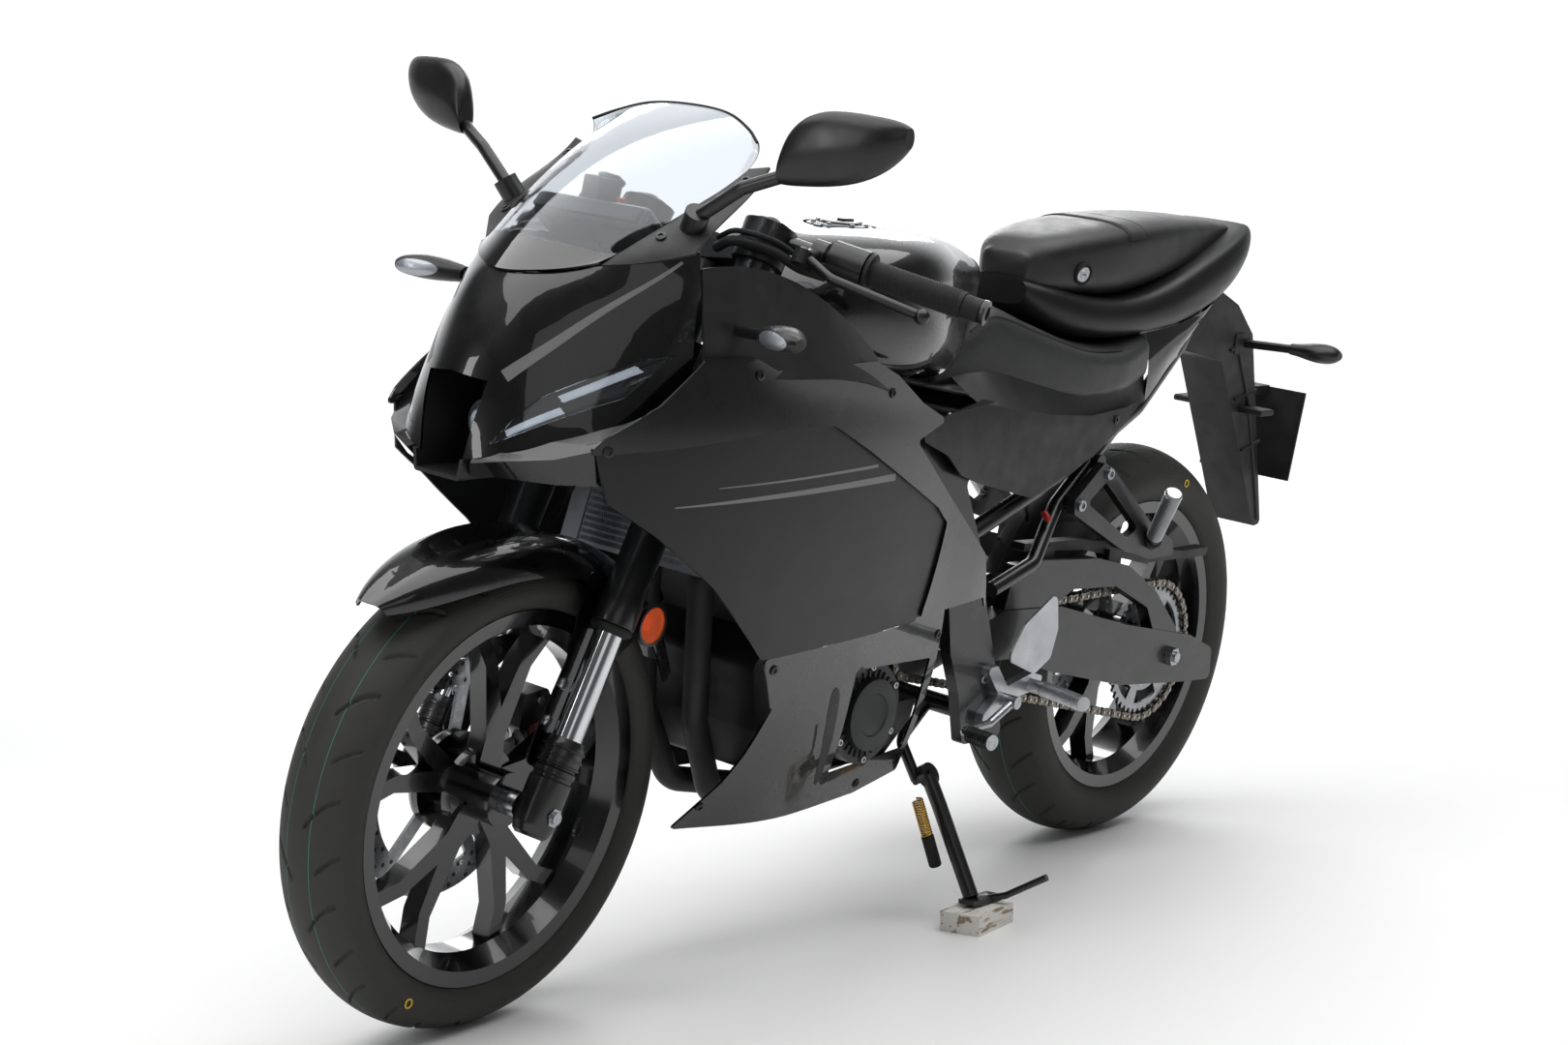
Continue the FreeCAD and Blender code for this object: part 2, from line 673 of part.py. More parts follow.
def make_controls(root, along):
    """A switch housing, lever perch and lever on each bar, and the brake reservoir on the right."""
    bar = size("bar_radius") + GAP
    grip_start = size("bar_length") - 126
    house_start = root + along * (grip_start - 48)
    housing = rod(house_start, root + along * (grip_start - 2), 25)
    perch_middle = root + along * (grip_start - 64)
    perch = rod(perch_middle - along * 9, perch_middle + along * 9, 19)
    pivot = perch_middle + V(42, 5, -20)
    arm = rod(perch_middle, pivot, 10)
    hub = Part.makeCylinder(11, 18, pivot - UP * 9, UP)
    perch = fused(perch, arm, hub)
    hole = rod(house_start - along * 56, root + along * (grip_start + 2), bar)
    perch = perch.cut(hole)
    housing = housing.cut(hole)
    tip = root + along * (size("bar_length") - 8) + V(62, 0, -44)
    bend = pivot + along * 52 + V(14, 0, -16)
    lever = tube([pivot + along * 11.5, bend, tip], 6, 30)
    ball = Part.makeSphere(9.5, tip)
    lever = fused(lever, ball)
    left = fused(perch, lever)
    cup_base = perch_middle + V(24, 4, 4)
    cup = Part.makeCylinder(17.5, 32, cup_base, UP)
    master = rod(perch_middle + V(30, 30, 2), perch_middle + V(30, -20, 2), 13)
    right = fused(mirrored(left), mirrored(master), mirrored(cup)).cut(mirrored(hole))
    housings = [housing, mirrored(housing)]
    new_piece("bar_controls", Part.makeCompound([left, right] + housings), "fork")


def make_front_fender():
    """The front mudguard: a curved crown and two side legs that reach down beside the tyre."""
    radius = size("fender_radius")
    half = size("mudguard_half")
    wall = size("fender_wall")
    stations = [(25, 0.34, 18), (31, 0.62, 15), (42, 0.88, 10), (60, 1.0, 3), (80, 1.0, 0), (100, 1.0, 0),
                (118, 0.96, 0), (132, 0.88, 2)]
    grid = []
    for angle, width, lift in stations:
        turn = math.radians(angle)
        row_points = []
        for share in (-1, -0.93, -0.72, -0.38, 0, 0.38, 0.72, 0.93, 1):
            drop = 44 * width * max(0.0, (abs(share) - 0.3) / 0.7) ** 2.2
            reach = radius + lift - drop
            y = half * width * (1 - (1 - abs(share)) ** 1.4) * (1 if share > 0 else -1)
            row_points.append(V(reach * math.cos(turn), y, reach * math.sin(turn)))
        grid.append(row_points)
    crown = panel(grid, wall, NOWHERE)
    foot = size("leg_spacing") - size("foot_radius") - GAP
    side = size("mudguard_half") - wall
    leg = plate_in_fork([(44, radius - 30), (-70, radius - 32), (-96, radius - 70), (-30, 150), (-22, 48),
                         (22, 48), (24, 90), (20, 180)], side, wall, 14)
    leg = leg.fuse(rod(V(0, side, 70), V(0, foot, 70), 9))
    new_piece("front_fender", fused(crown, leg, mirrored(leg)), "fork")


def make_front_brake():
    """Caliper over the disc on the right leg, and the reflectors."""
    spread = size("leg_spacing")
    disc = size("front_disc_offset")
    slot_half = size("disc_thickness") / 2 + 1.6
    block = plate_in_fork([(-70, 88), (-128, 60), (-142, 78), (-128, 128), (-92, 150), (-54, 128)],
                          -disc - 22, 44, 8)
    slot = Part.makeCylinder(size("front_disc_radius") + 2, 2 * slot_half,
                             V(0, -disc - slot_half, 0), LEFT)
    bracket = plate_in_fork([(-46, 112), (-64, 100), (-78, 112), (-70, 130), (-50, 132)],
                            -spread + 4 + GAP, 22, 4)
    caliper = fused(block, bracket).cut(slot)
    new_piece("front_caliper", caliper, "fork")
    outer = size("outer_tube_radius")
    height = size("outer_tube_low") + 6
    lens = Part.makeCylinder(23, 8, V(-outer - 28, spread + 9, height + 16), LEFT)
    arm = Part.makeBox(27, 10, 14, V(-outer - 29 - GAP, spread, height + 9))
    new_piece("front_reflectors", pair(fused(arm, lens)), "fork")


def make_brake_hose():
    """The front brake's hose, from under the lower clamp down behind the right leg."""
    top = size("lower_clamp_height") - 2 * GAP
    route = [V(-14, -46, top), V(-22, -52, top - 40), V(-37, -78, top - 110), V(-38, -84, 270), V(-46, -83, 200),
             V(-80, -74, 150)]
    new_piece("brake_hose", tube(route, 4, 40), "fork")


# Frame, engine and what hangs on them

def head_point(height, back=None):
    """A point on the steering axis of the upright machine, at a height up the fork from the axle."""
    offset = -size("fork_offset") if back is None else back
    rake = math.radians(size("rake_angle"))
    x = WHEELBASE + offset * math.cos(rake) - height * math.sin(rake)
    z = size("front_tyre_radius") + offset * math.sin(rake) + height * math.cos(rake)
    return V(x, 0, z)


def make_frame(tank, seat, shoulder, nose, dash):
    """Head tube, twin spars, pivot plates and the stays of the fairing, then the rear subframe."""
    low = size("lower_clamp_height") + size("lower_clamp_depth") + 2
    high = size("upper_clamp_height") - 2
    axis = head_point(high) - head_point(low)
    tube_out = Part.makeCylinder(size("head_tube_radius"), axis.Length, head_point(low), axis)
    inner = size("plate_inner")
    outer = size("plate_outer")
    plate_outline = [(776, 716), (700, 730), (590, 752), (572, 730), (600, 680), (640, 640), (592, 556),
                     (560, 470), (520, 380), (480, 262), (576, 262), (600, 340), (630, 400), (660, 520),
                     (720, 600), (800, 660)]
    side = plate(plate_outline, inner, outer - inner, 10)
    upper = skinned([box_ring(at(770, 135, 684), 18, 56), box_ring(at(920, 118, 732), 18, 56),
                     box_ring(at(1020, 58, 776), 18, 60), box_ring(head_point(575) + V(0, 20, 0), 16, 70)],
                    True)
    mount = plate([(914, 716), (966, 730), (972, 656), (936, 648)], 95 + GAP, 18, 6)
    left = fused(side, upper, mount, *radiator_stays())
    head = fused(tube_out, left, mirrored(left))
    bore = Part.makeCylinder(size("stem_radius") + GAP, axis.Length, head_point(low), axis)
    cross = rod(at(538, -136, 300), at(538, 136, 300), 14)
    shock_cross = rod(at(590, -136, 736), at(590, 136, 736), 14)
    spindle = rod(at(size("pivot_x"), -outer, size("pivot_z")), at(size("pivot_x"), outer, size("pivot_z")),
                  9 - GAP)
    tank_posts = [rod(at(900, side * 84, 740), at(900, side * 84, 850), 15) for side in (-1, 1)]
    fairing_stay = rod(at(780, 138, 696), at(890, 240, 745), 7)
    whole = fused(head, cross, shock_cross, spindle, *stand_bracket(), *tank_posts, fairing_stay,
                  mirrored(fairing_stay), *cowl_stay())
    for rest in (moved(tank, UP * -GAP), moved(shoulder, LEFT * -GAP),
                 mirrored(moved(shoulder, LEFT * -GAP)), moved(nose, AHEAD * -GAP), moved(dash, UP * -GAP)):
        whole = whole.cut(rest)
    whole = biggest(whole.cut(bore))
    new_piece("frame", whole)
    make_subframe(whole, seat)


def make_subframe(main, seat):
    """The seat rails with their lower struts, the cross bar under the seat and the footrest bosses."""
    rail = seat_rail(13)
    brace = tube([at(538, 140, 480), at(440, 140, 508), at(352, 110, 580), at(210, 106, 690)], 11, 40)
    bosses = [rod(at(x, 104, z), at(x, 128.7, z), 12) for x, z in ((338, 585), (271, 640))]
    left = fused(rail, brace, *bosses)
    cross = rod(at(150, -100, 712), at(150, 100, 712), 9)
    seat_posts = [rod(at(150, side * 60, 712), at(150, side * 60, 780), 11) for side in (-1, 1)]
    whole = fused(left, mirrored(left), cross, *seat_posts)
    whole = whole.cut(moved(seat, UP * -GAP)).cut(main)
    new_piece("rear_subframe", biggest(whole))


def cowl_stay():
    """The stay between the fork legs, from the head tube out to the nose and up to the instruments."""
    root = head_point(600)
    ahead = V(math.cos(math.radians(25)), 0, math.sin(math.radians(25)))
    knee = root + ahead * 140
    low = tube([root + ahead * 20, knee, at(1290, 0, 884), at(1450, 0, 870)], 10, 30)
    up = rod(knee + V(8, 0, 2), at(1244, 0, 958), 9)
    return [low, up]


def seat_rail(radius):
    """The left seat rail, from the pivot plate up to the tail."""
    return tube([at(596, 128, 560), at(380, 120, 626), at(150, 100, 712), at(20, 84, 800), at(-80, 58, 886)],
                radius, 60)


def radiator_stays():
    """A short bar from the left spar down onto the radiator's end tank."""
    up = V(-math.sin(math.radians(16)), 0, math.cos(math.radians(16)))
    spot = at(1084, 129, 616) + up * 79
    return [tube([at(1010, 66, 770), spot + up * 40, spot + up * GAP], 6, 16)]


def stand_bracket():
    """The pin on which the side stand turns, and the bar that carries it."""
    pivot = stand_pivot()
    axis = stand_axis()
    under = pivot - axis * 22
    bar = tube([under, at(604, 62, 252), at(538, 60, 302)], 8, 20)
    return [rod(pivot - axis * 26, pivot + axis * 10, size("stand_pin_radius")), bar]


def stand_pivot():
    """Where the side stand is hinged, on the upright machine."""
    return at(604, 116, 214)


def stand_axis():
    """The axis on which the side stand folds, on the upright machine."""
    tilt = math.radians(size("stand_axis_tilt"))
    return V(0, math.cos(tilt), math.sin(tilt))


def box_ring(centre, wide, tall):
    """A rounded upright rectangle across the machine, for lofts that run fore and aft."""
    points = [centre + V(0, -wide / 2, -tall / 2), centre + V(0, wide / 2, -tall / 2),
              centre + V(0, wide / 2, tall / 2), centre + V(0, -wide / 2, tall / 2)]
    return Part.Wire(Part.makePolygon(points + points[:1]))


def make_engine():
    """The engine as a plain block with its cases, and its round covers."""
    crank = plate([(980, 330), (950, 262), (700, 250), (640, 300), (610, 420), (700, 470), (940, 470),
                   (1000, 420)], -100, 200, 18)
    cylinders = plate([(830, 460), (950, 440), (1030, 600), (1010, 650), (930, 690)], -95, 190, 14)
    pocket = Part.makeBox(130, 60, 130, at(586, 66, 326))
    shaft = Part.makeCylinder(12, 40, at(648, 60, 392), LEFT)
    small = pitch_radius(size("front_teeth")) - 5.08 - GAP
    thick = size("sprocket_plate")
    wheel = Part.makeCylinder(small, thick, at(648, size("chain_line") - thick / 2, 392), LEFT)
    new_piece("engine", fused(fused(crank, cylinders).cut(pocket), shaft, wheel))
    cover = Part.makeCylinder(70, 30, at(785, 100 + GAP, 334), LEFT)
    step = Part.makeCylinder(48, 40, at(785, 100 + GAP, 334), LEFT)
    new_piece("engine_covers", pair(fused(cover, step)))


def make_exhaust():
    """Two header pipes that join under the engine, and a silencer on the right."""
    pipes = []
    out = V(0.894, 0, -0.447)
    for side in (-45, 45):
        port = at(1010, side, 560)
        pipes.append(tube([port + out * GAP, port + out * 50, at(1040, side, 340),
                           at(985, side * 0.8, 232), at(860, -10, 210)], 17, 40))
    link = tube([at(880, -10, 210), at(600, -40, 206), at(470, -120, 222), at(330, -192, 258)], 19, 60)
    silencer = skinned([disc_ring(at(356, -190, 250), 26), disc_ring(at(310, -196, 272), 50),
                        disc_ring(at(60, -198, 352), 56), disc_ring(at(-20, -199, 378), 44)])
    hanger = mirrored(plate([(60, 348), (120, 340), (98, 501), (74, 501)], 143 + GAP, 6, 5))
    new_piece("exhaust", fused(pipes[0], pipes[1], link, silencer, hanger))


def disc_ring(centre, radius):
    """A circle across the machine."""
    return Part.Wire(Part.makeCircle(radius, centre, AHEAD))


def make_radiator():
    """The radiator: end tanks and a core, leaning with the fork."""
    core = Part.makeBox(26, 230, 150, V(-13, -115, -75))
    tanks = [Part.makeBox(34, 28, 158, V(-17, side, -79)) for side in (-143, 115)]
    whole = fused(core, *tanks)
    whole.rotate(NOWHERE, LEFT, -16)
    whole.translate(at(1084, 0, 616))
    new_piece("radiator", whole)


def make_swingarm():
    """The rear swingarm with its arched brace, the axle, adjusters and the chain guard."""
    inner = size("arm_inner")
    depth = size("arm_outer") - inner
    height = size("rear_tyre_radius")
    lower = [(-60, height + 26), (-134, height - 4), (-140, height - 56), (-58, height - 50),
             (134, 284), (330, 330), (452, 366), (552, 372), (560, 400), (545, 424), (480, 440),
             (330, 430), (140, 380), (20, 356)]
    arch = [(-40, height + 22), (60, 424), (150, 473), (240, 493), (381, 503), (460, 503), (480, 430),
            (400, 410), (300, 452), (180, 444), (80, 400), (40, 340)]
    arm = fused(plate(lower, inner, depth, 12), plate(arch, inner + 3, depth - 6, 12))
    ring = Part.makeCylinder(20, depth + inner, at(size("pivot_x"), 0, size("pivot_z")), LEFT)
    boss = Part.makeCylinder(29, depth - 9, at(size("pivot_x"), inner, size("pivot_z")), LEFT)
    arm = fused(arm, ring, boss)
    axle_slot = Part.makeCylinder(size("rear_axle_radius") + GAP, 80, V(0, inner - 10, height), LEFT)
    arm = arm.cut(axle_slot)
    bridge = plate([(420, 378), (516, 378), (516, 410), (420, 410)], -inner, 2 * inner, 6)
    box_beam = plate([(420, 380), (490, 380), (500, 470), (430, 480)], -inner, inner + 70, 12)
    shock_low = at(462, 0, 492)
    along = (at(590, 0, 736) - shock_low).normalize()
    shock_high = at(590, 0, 736) - along * (14 + GAP)
    clevis = rod(shock_low - along * 42, shock_low - along * GAP, 16)
    cross = fused(bridge, box_beam, clevis)
    spindle = rod(at(size("pivot_x"), -140, size("pivot_z")), at(size("pivot_x"), 140, size("pivot_z")), 9)
    whole = fused(arm, mirrored(arm), cross).cut(spindle)
    new_piece("swingarm", whole)
    reach = size("arm_outer")
    shaft = rod(V(0, -reach - 14, height), V(0, reach + 16, height), size("rear_axle_radius"))
    nut = hexagon(15, reach + GAP, 11)
    nut.translate(V(0, 0, height))
    head = hexagon(15, -reach - GAP - 10, 10)
    head.translate(V(0, 0, height))
    new_piece("rear_axle", fused(shaft, nut, head))
    line = size("chain_line")
    guard = plate([(-138, 470), (-130, 456), (60, 462), (240, 500), (400, 512), (400, 524), (240, 516),
                   (60, 486), (-60, 470)], line - 11, 22, 3)
    lugs = [plate(spots, line + 10, inner + 3 - GAP - line - 10, 2)
            for spots in ([(140, 450), (176, 460), (176, 496), (140, 484)],
                          [(330, 484), (366, 486), (366, 518), (330, 514)])]
    new_piece("chain_guard", fused(guard, *lugs))
    damper = rod(shock_low, shock_high, 18)
    spring = rod(shock_low + along * 30, shock_high - along * 56, 32)
    new_piece("rear_shock", fused(damper, spring))


def make_rear_brake():
    """The rear caliper over its disc, on a stud from the swingarm's right side."""
    disc = size("rear_disc_offset")
    slot_half = size("disc_thickness") / 2 + 1.6
    block = plate([(52, 388), (104, 356), (130, 374), (118, 408), (92, 430), (56, 418)], -disc - 22, 44, 7)
    slot = Part.makeCylinder(size("rear_disc_radius") + 2, 2 * slot_half,
                             V(0, -disc - slot_half, size("rear_tyre_radius")), LEFT)
    stud = rod(V(88, -disc - 16, 414), V(88, -size("arm_inner") - 3 + GAP, 414), 7)
    new_piece("rear_caliper", fused(block.cut(slot), stud))


def make_chain():
    """The chain as one loop round both sprockets, with the outline of its plates."""
    big = pitch_radius(size("rear_teeth"))
    small = pitch_radius(size("front_teeth"))
    height = size("rear_tyre_radius")
    front = at(648, 0, 392)
    rear = V(0, 0, height)
    half = size("chain_plate_height") / 2
    side = size("chain_line") - size("chain_width") / 2

    def loop_face(extra):
        """The area inside the chain line, grown by extra."""
        span = front - rear
        tilt = math.atan2(span.z, span.x)
        lean = math.acos((big - small) / span.Length)
        spots = []
        for sign in (1, -1):
            angle = tilt + sign * lean
            for centre, radius in ((rear, big + extra), (front, small + extra)):
                spots.append(centre + V(radius * math.cos(angle), 0, radius * math.sin(angle)))
        far_rear = rear - V(math.cos(tilt), 0, math.sin(tilt)) * (big + extra)
        far_front = front + V(math.cos(tilt), 0, math.sin(tilt)) * (small + extra)
        edges = [Part.LineSegment(spots[0], spots[1]).toShape(),
                 Part.Arc(spots[1], far_front, spots[3]).toShape(),
                 Part.LineSegment(spots[3], spots[2]).toShape(),
                 Part.Arc(spots[2], far_rear, spots[0]).toShape()]
        return Part.Face(Part.Wire(edges))

    band = loop_face(half).cut(loop_face(-half)).extrude(LEFT * size("chain_width"))
    band.translate(LEFT * side)
    roller = size("sprocket_plate") / 2 + 0.9
    groove = loop_face(-5.08).cut(loop_face(-half - 1)).extrude(LEFT * 2 * roller)
    groove.translate(LEFT * (size("chain_line") - roller))
    new_piece("chain", band.cut(groove))


# Tank, seats and tail

def make_tank():
    """The fuel tank, hollowed only for its filler."""
    rings = [ring_of(974, 856, 816, 900, 92, 0.66), ring_of(930, 872, 800, 946, 134, 0.58),
             ring_of(860, 872, 788, 968, 154, 0.54), ring_of(780, 870, 780, 973, 156, 0.52),
             ring_of(690, 866, 772, 969, 132, 0.55), ring_of(612, 862, 780, 958, 98, 0.6),
             ring_of(562, 900, 868, 942, 76, 0.66), ring_of(536, 912, 896, 930, 54, 0.7)]
    tank = skinned(rings)
    seat = Part.makeCylinder(size("cap_radius") + 5, 60, at(790, 0, 962), UP)
    tank = tank.cut(seat)
    new_piece("fuel_tank", tank)
    base = at(790, 0, 962 + GAP)
    cap = Part.makeCylinder(size("cap_radius"), 10, base, UP)
    flange = washer_up(size("cap_radius") - 5, size("cap_radius") - 12, base + UP * 10, 2)
    hinge = base + V(size("cap_radius") + 1.5, 0, 9)
    barrel = rod(hinge + V(0, -6, 0), hinge + V(0, 6, 0), 2.6)
    new_piece("fuel_cap", fused(cap, flange, barrel))
    return tank


def washer_up(outer, inner, base, thickness):
    """A flat ring about a vertical line."""
    ring = Part.makeCylinder(outer, thickness, base, UP)
    return ring.cut(Part.makeCylinder(inner, thickness, base, UP))


def biggest(shape):
    """The largest solid of a shape."""
    return max(shape.Solids, key=lambda solid: solid.Volume)


def make_seats(tank, cowl):
    """The rider's seat and the passenger's seat behind and above it."""
    rider = skinned([ring_of(622, 770, 757, 790, 66, 0.5), ring_of(570, 790, 752, 850, 84, 0.5),
                     ring_of(526, 800, 742, 874, 96, 0.5),
                     ring_of(440, 786, 730, 848, 116, 0.5), ring_of(330, 770, 722, 818, 128, 0.5),
                     ring_of(230, 772, 730, 812, 126, 0.5), ring_of(150, 788, 745, 828, 112, 0.5)])
    rider = rider.cut(moved(tank, V(-GAP, 0, -GAP))).cut(moved(cowl, V(0, 0, -GAP)))
    rider = biggest(rider)
    new_piece("rider_seat", rider)
    rear = skinned([ring_of(392, 916, 884, 940, 42, 0.6), ring_of(366, 920, 876, 958, 62, 0.6),
                    ring_of(300, 930, 872, 972, 80, 0.6), ring_of(200, 940, 872, 984, 90, 0.6),
                    ring_of(72, 950, 892, 992, 84, 0.55), ring_of(-60, 962, 925, 990, 66, 0.5),
                    ring_of(-150, 966, 948, 984, 48, 0.5)])
    new_piece("passenger_seat", biggest(rear.cut(moved(cowl, V(0, 0, GAP)))))
    return rider


def make_tail():
    """Tail cowl, lamp, rear mudguard and plate holder."""
    cowl = skinned([ring_of(404, 884, 862, 902, 48, 0.6), ring_of(340, 858, 822, 892, 84, 0.55),
                    ring_of(226, 846, 814, 878, 102, 0.45), ring_of(72, 868, 828, 906, 110, 0.4),
                    ring_of(-40, 900, 856, 942, 104, 0.38), ring_of(-140, 940, 906, 972, 88, 0.38),
                    ring_of(-184, 964, 944, 984, 68, 0.4)])
    rail = seat_rail(13 + GAP)
    cowl = biggest(cowl.cut(rail).cut(mirrored(rail)))
    new_piece("tail_cowl", cowl)
    lamp = skinned([ring_of(-184 - GAP, 962, 950, 974, 50, 0.5), ring_of(-198, 963, 954, 972, 42, 0.5)])
    new_piece("tail_lamp", lamp)
    guard = plate([(60, 870), (-100, 900), (-230, 850), (-290, 800), (-404, 474), (-380, 470), (-300, 600),
                   (-200, 760), (-20, 790), (60, 800)], -40, 80, 8)
    guard = biggest(guard.cut(moved(cowl, V(0, 0, -GAP))))
    new_piece("rear_fender", guard)
    holder = Part.makeBox(4, 170, 150, V(-4, -85, -75))
    holder.rotate(NOWHERE, LEFT, -8)
    holder.translate(at(-404, 0, 630))
    stay = Part.makeBox(130, 30, 16, at(-418, -15, 690)).cut(moved(guard, V(-GAP, 0, 0)))
    stay = [part for part in stay.Solids if part.BoundBox.XMin < -400][0]
    new_piece("plate_holder", fused(holder, stay))
    return cowl


def make_indicators(inner):
    """The four indicators: the front ones stand on the inner panels, the rear ones on the mudguard."""
    stalk = rod(at(-266, 40.8, 786), at(-270, 130, 790), 7)
    bulb = skinned([cross_ring(at(-270, 124, 790), 11, 9), cross_ring(at(-276, 150, 790), 20, 13),
                    cross_ring(at(-282, 196, 790), 17, 12), cross_ring(at(-284, 204, 790), 8, 6)])
    rear = fused(stalk, bulb)
    stem = rod(at(1200, 176, 871), at(1226, 250, 876), 7)
    stem = biggest(stem.cut(moved(inner, LEFT * GAP)))
    lens = skinned([cross_ring(at(1224, 244, 876), 13, 10), cross_ring(at(1236, 270, 878), 24, 14),
                    cross_ring(at(1256, 316, 880), 20, 12), cross_ring(at(1262, 328, 880), 8, 6)])
    front = fused(stem, lens)
    new_piece("indicators", Part.makeCompound([front, mirrored(front), rear, mirrored(rear)]))


def cross_ring(centre, wide, tall):
    """An ellipse that faces sideways."""
    points = []
    for i in range(10):
        angle = 2 * math.pi * i / 10
        points.append(centre + V(wide * math.cos(angle), 0, tall * math.sin(angle)))
    return loop(points)


def make_side_covers():
    """The covers between tank, seat and frame."""
    outline = [(797, 717), (716, 741), (620, 748), (520, 735), (440, 724), (330, 716), (230, 722),
               (160, 740), (316, 655), (480, 608), (620, 640), (677, 657), (719, 688)]
    grid = []
    for x in (820, 650, 480, 310, 140):
        base = 132 + (x - 170) * 0.062
        grid.append([at(x, base, 590), at(x, base, 660), at(x, base, 710), at(x, base - 12, 760)])
    cover = panel(grid, size("panel_wall"), at(480, 0, 680)).common(plate(outline, 90, 120, 8))
    new_piece("side_covers", pair(cover))


# Fairing

def fairing_side(x, z):
    """Half the width of the fairing at a place in side view."""
    widths = [(560, 166), (700, 183), (800, 195), (900, 206), (1000, 213), (1100, 216), (1200, 213),
              (1300, 200), (1400, 172), (1500, 118)]
    tucks = [(190, 96), (240, 78), (300, 55), (360, 37), (430, 20), (500, 8), (580, 1), (700, 0),
             (760, 2), (860, 18), (960, 40)]
    tuck = between(tucks, z)
    ahead = max(0.0, (x - 960) / 150.0)
    low = max(0.0, (420 - z) / 200.0)
    return between(widths, x) - tuck - 42 * min(ahead, 1.3) * min(low, 1.2)


def between(table, value):
    """A value read between the rows of a short table."""
    if value <= table[0][0]:
        return table[0][1]
    for (x0, y0), (x1, y1) in zip(table, table[1:]):
        if value <= x1:
            return y0 + (y1 - y0) * (value - x0) / (x1 - x0)
    return table[-1][1]


def side_panel(outline, columns, rows, proud=0.0, holes=(), radius=5, wall=None):
    """A left panel that follows the fairing's side, trimmed to an outline in side view."""
    grid = [[at(x, fairing_side(x, z) + proud, z) for z in rows] for x in columns]
    skin = panel(grid, wall or size("panel_wall"), at(900, 0, 500))
    cutter = plate(outline, 40, 300, radius, holes)
    return skin.common(cutter)


def make_fairing():
    """Shoulders, side panels and belly, each as a left and a right piece."""
    proud = 6.0
    matt = [(1405, 741), (1296, 751), (1130, 766), (1036, 764), (960, 730), (768, 638), (734, 610),
            (757, 482), (775, 471), (1114, 467), (1226, 570), (1322, 638), (1389, 678)]
    left = side_panel(matt, [1440, 1340, 1240, 1140, 1040, 940, 840, 720], [440, 520, 600, 680, 770],
                      proud - size("panel_wall") - GAP)
    new_piece("side_panels", pair(left))
    shoulder = [(1420, 733), (1296, 742), (1130, 757), (1036, 755), (960, 720), (770, 628), (740, 604),
                (764, 476), (598, 482), (578, 456), (622, 548), (668, 584), (846, 722), (770, 744),
                (835, 770), (897, 809), (947, 829), (1148, 826), (1186, 842), (1263, 842), (1330, 790),
                (1400, 752)]
    gloss = side_panel(shoulder, [1460, 1380, 1300, 1200, 1100, 1000, 900, 800, 700, 560],
                       [440, 500, 580, 660, 740, 800, 860], proud)
    new_piece("shoulder_panels", pair(gloss))
    belly = [(1111, 466.4), (1056, 391), (1066, 328), (1078, 286), (1114, 217), (914, 212), (757, 210),
             (651, 224), (668, 390), (690, 477),
             (764, 475.2), (771, 469.4)]
    opening = [(890, 420), (690, 405), (668, 262), (860, 262)]
    low = side_panel(belly, [1130, 1060, 980, 900, 820, 740, 640], [200, 250, 310, 370, 430, 490], 0.0,
                     [opening])
    new_piece("belly_panels", pair(low))
    return gloss, left


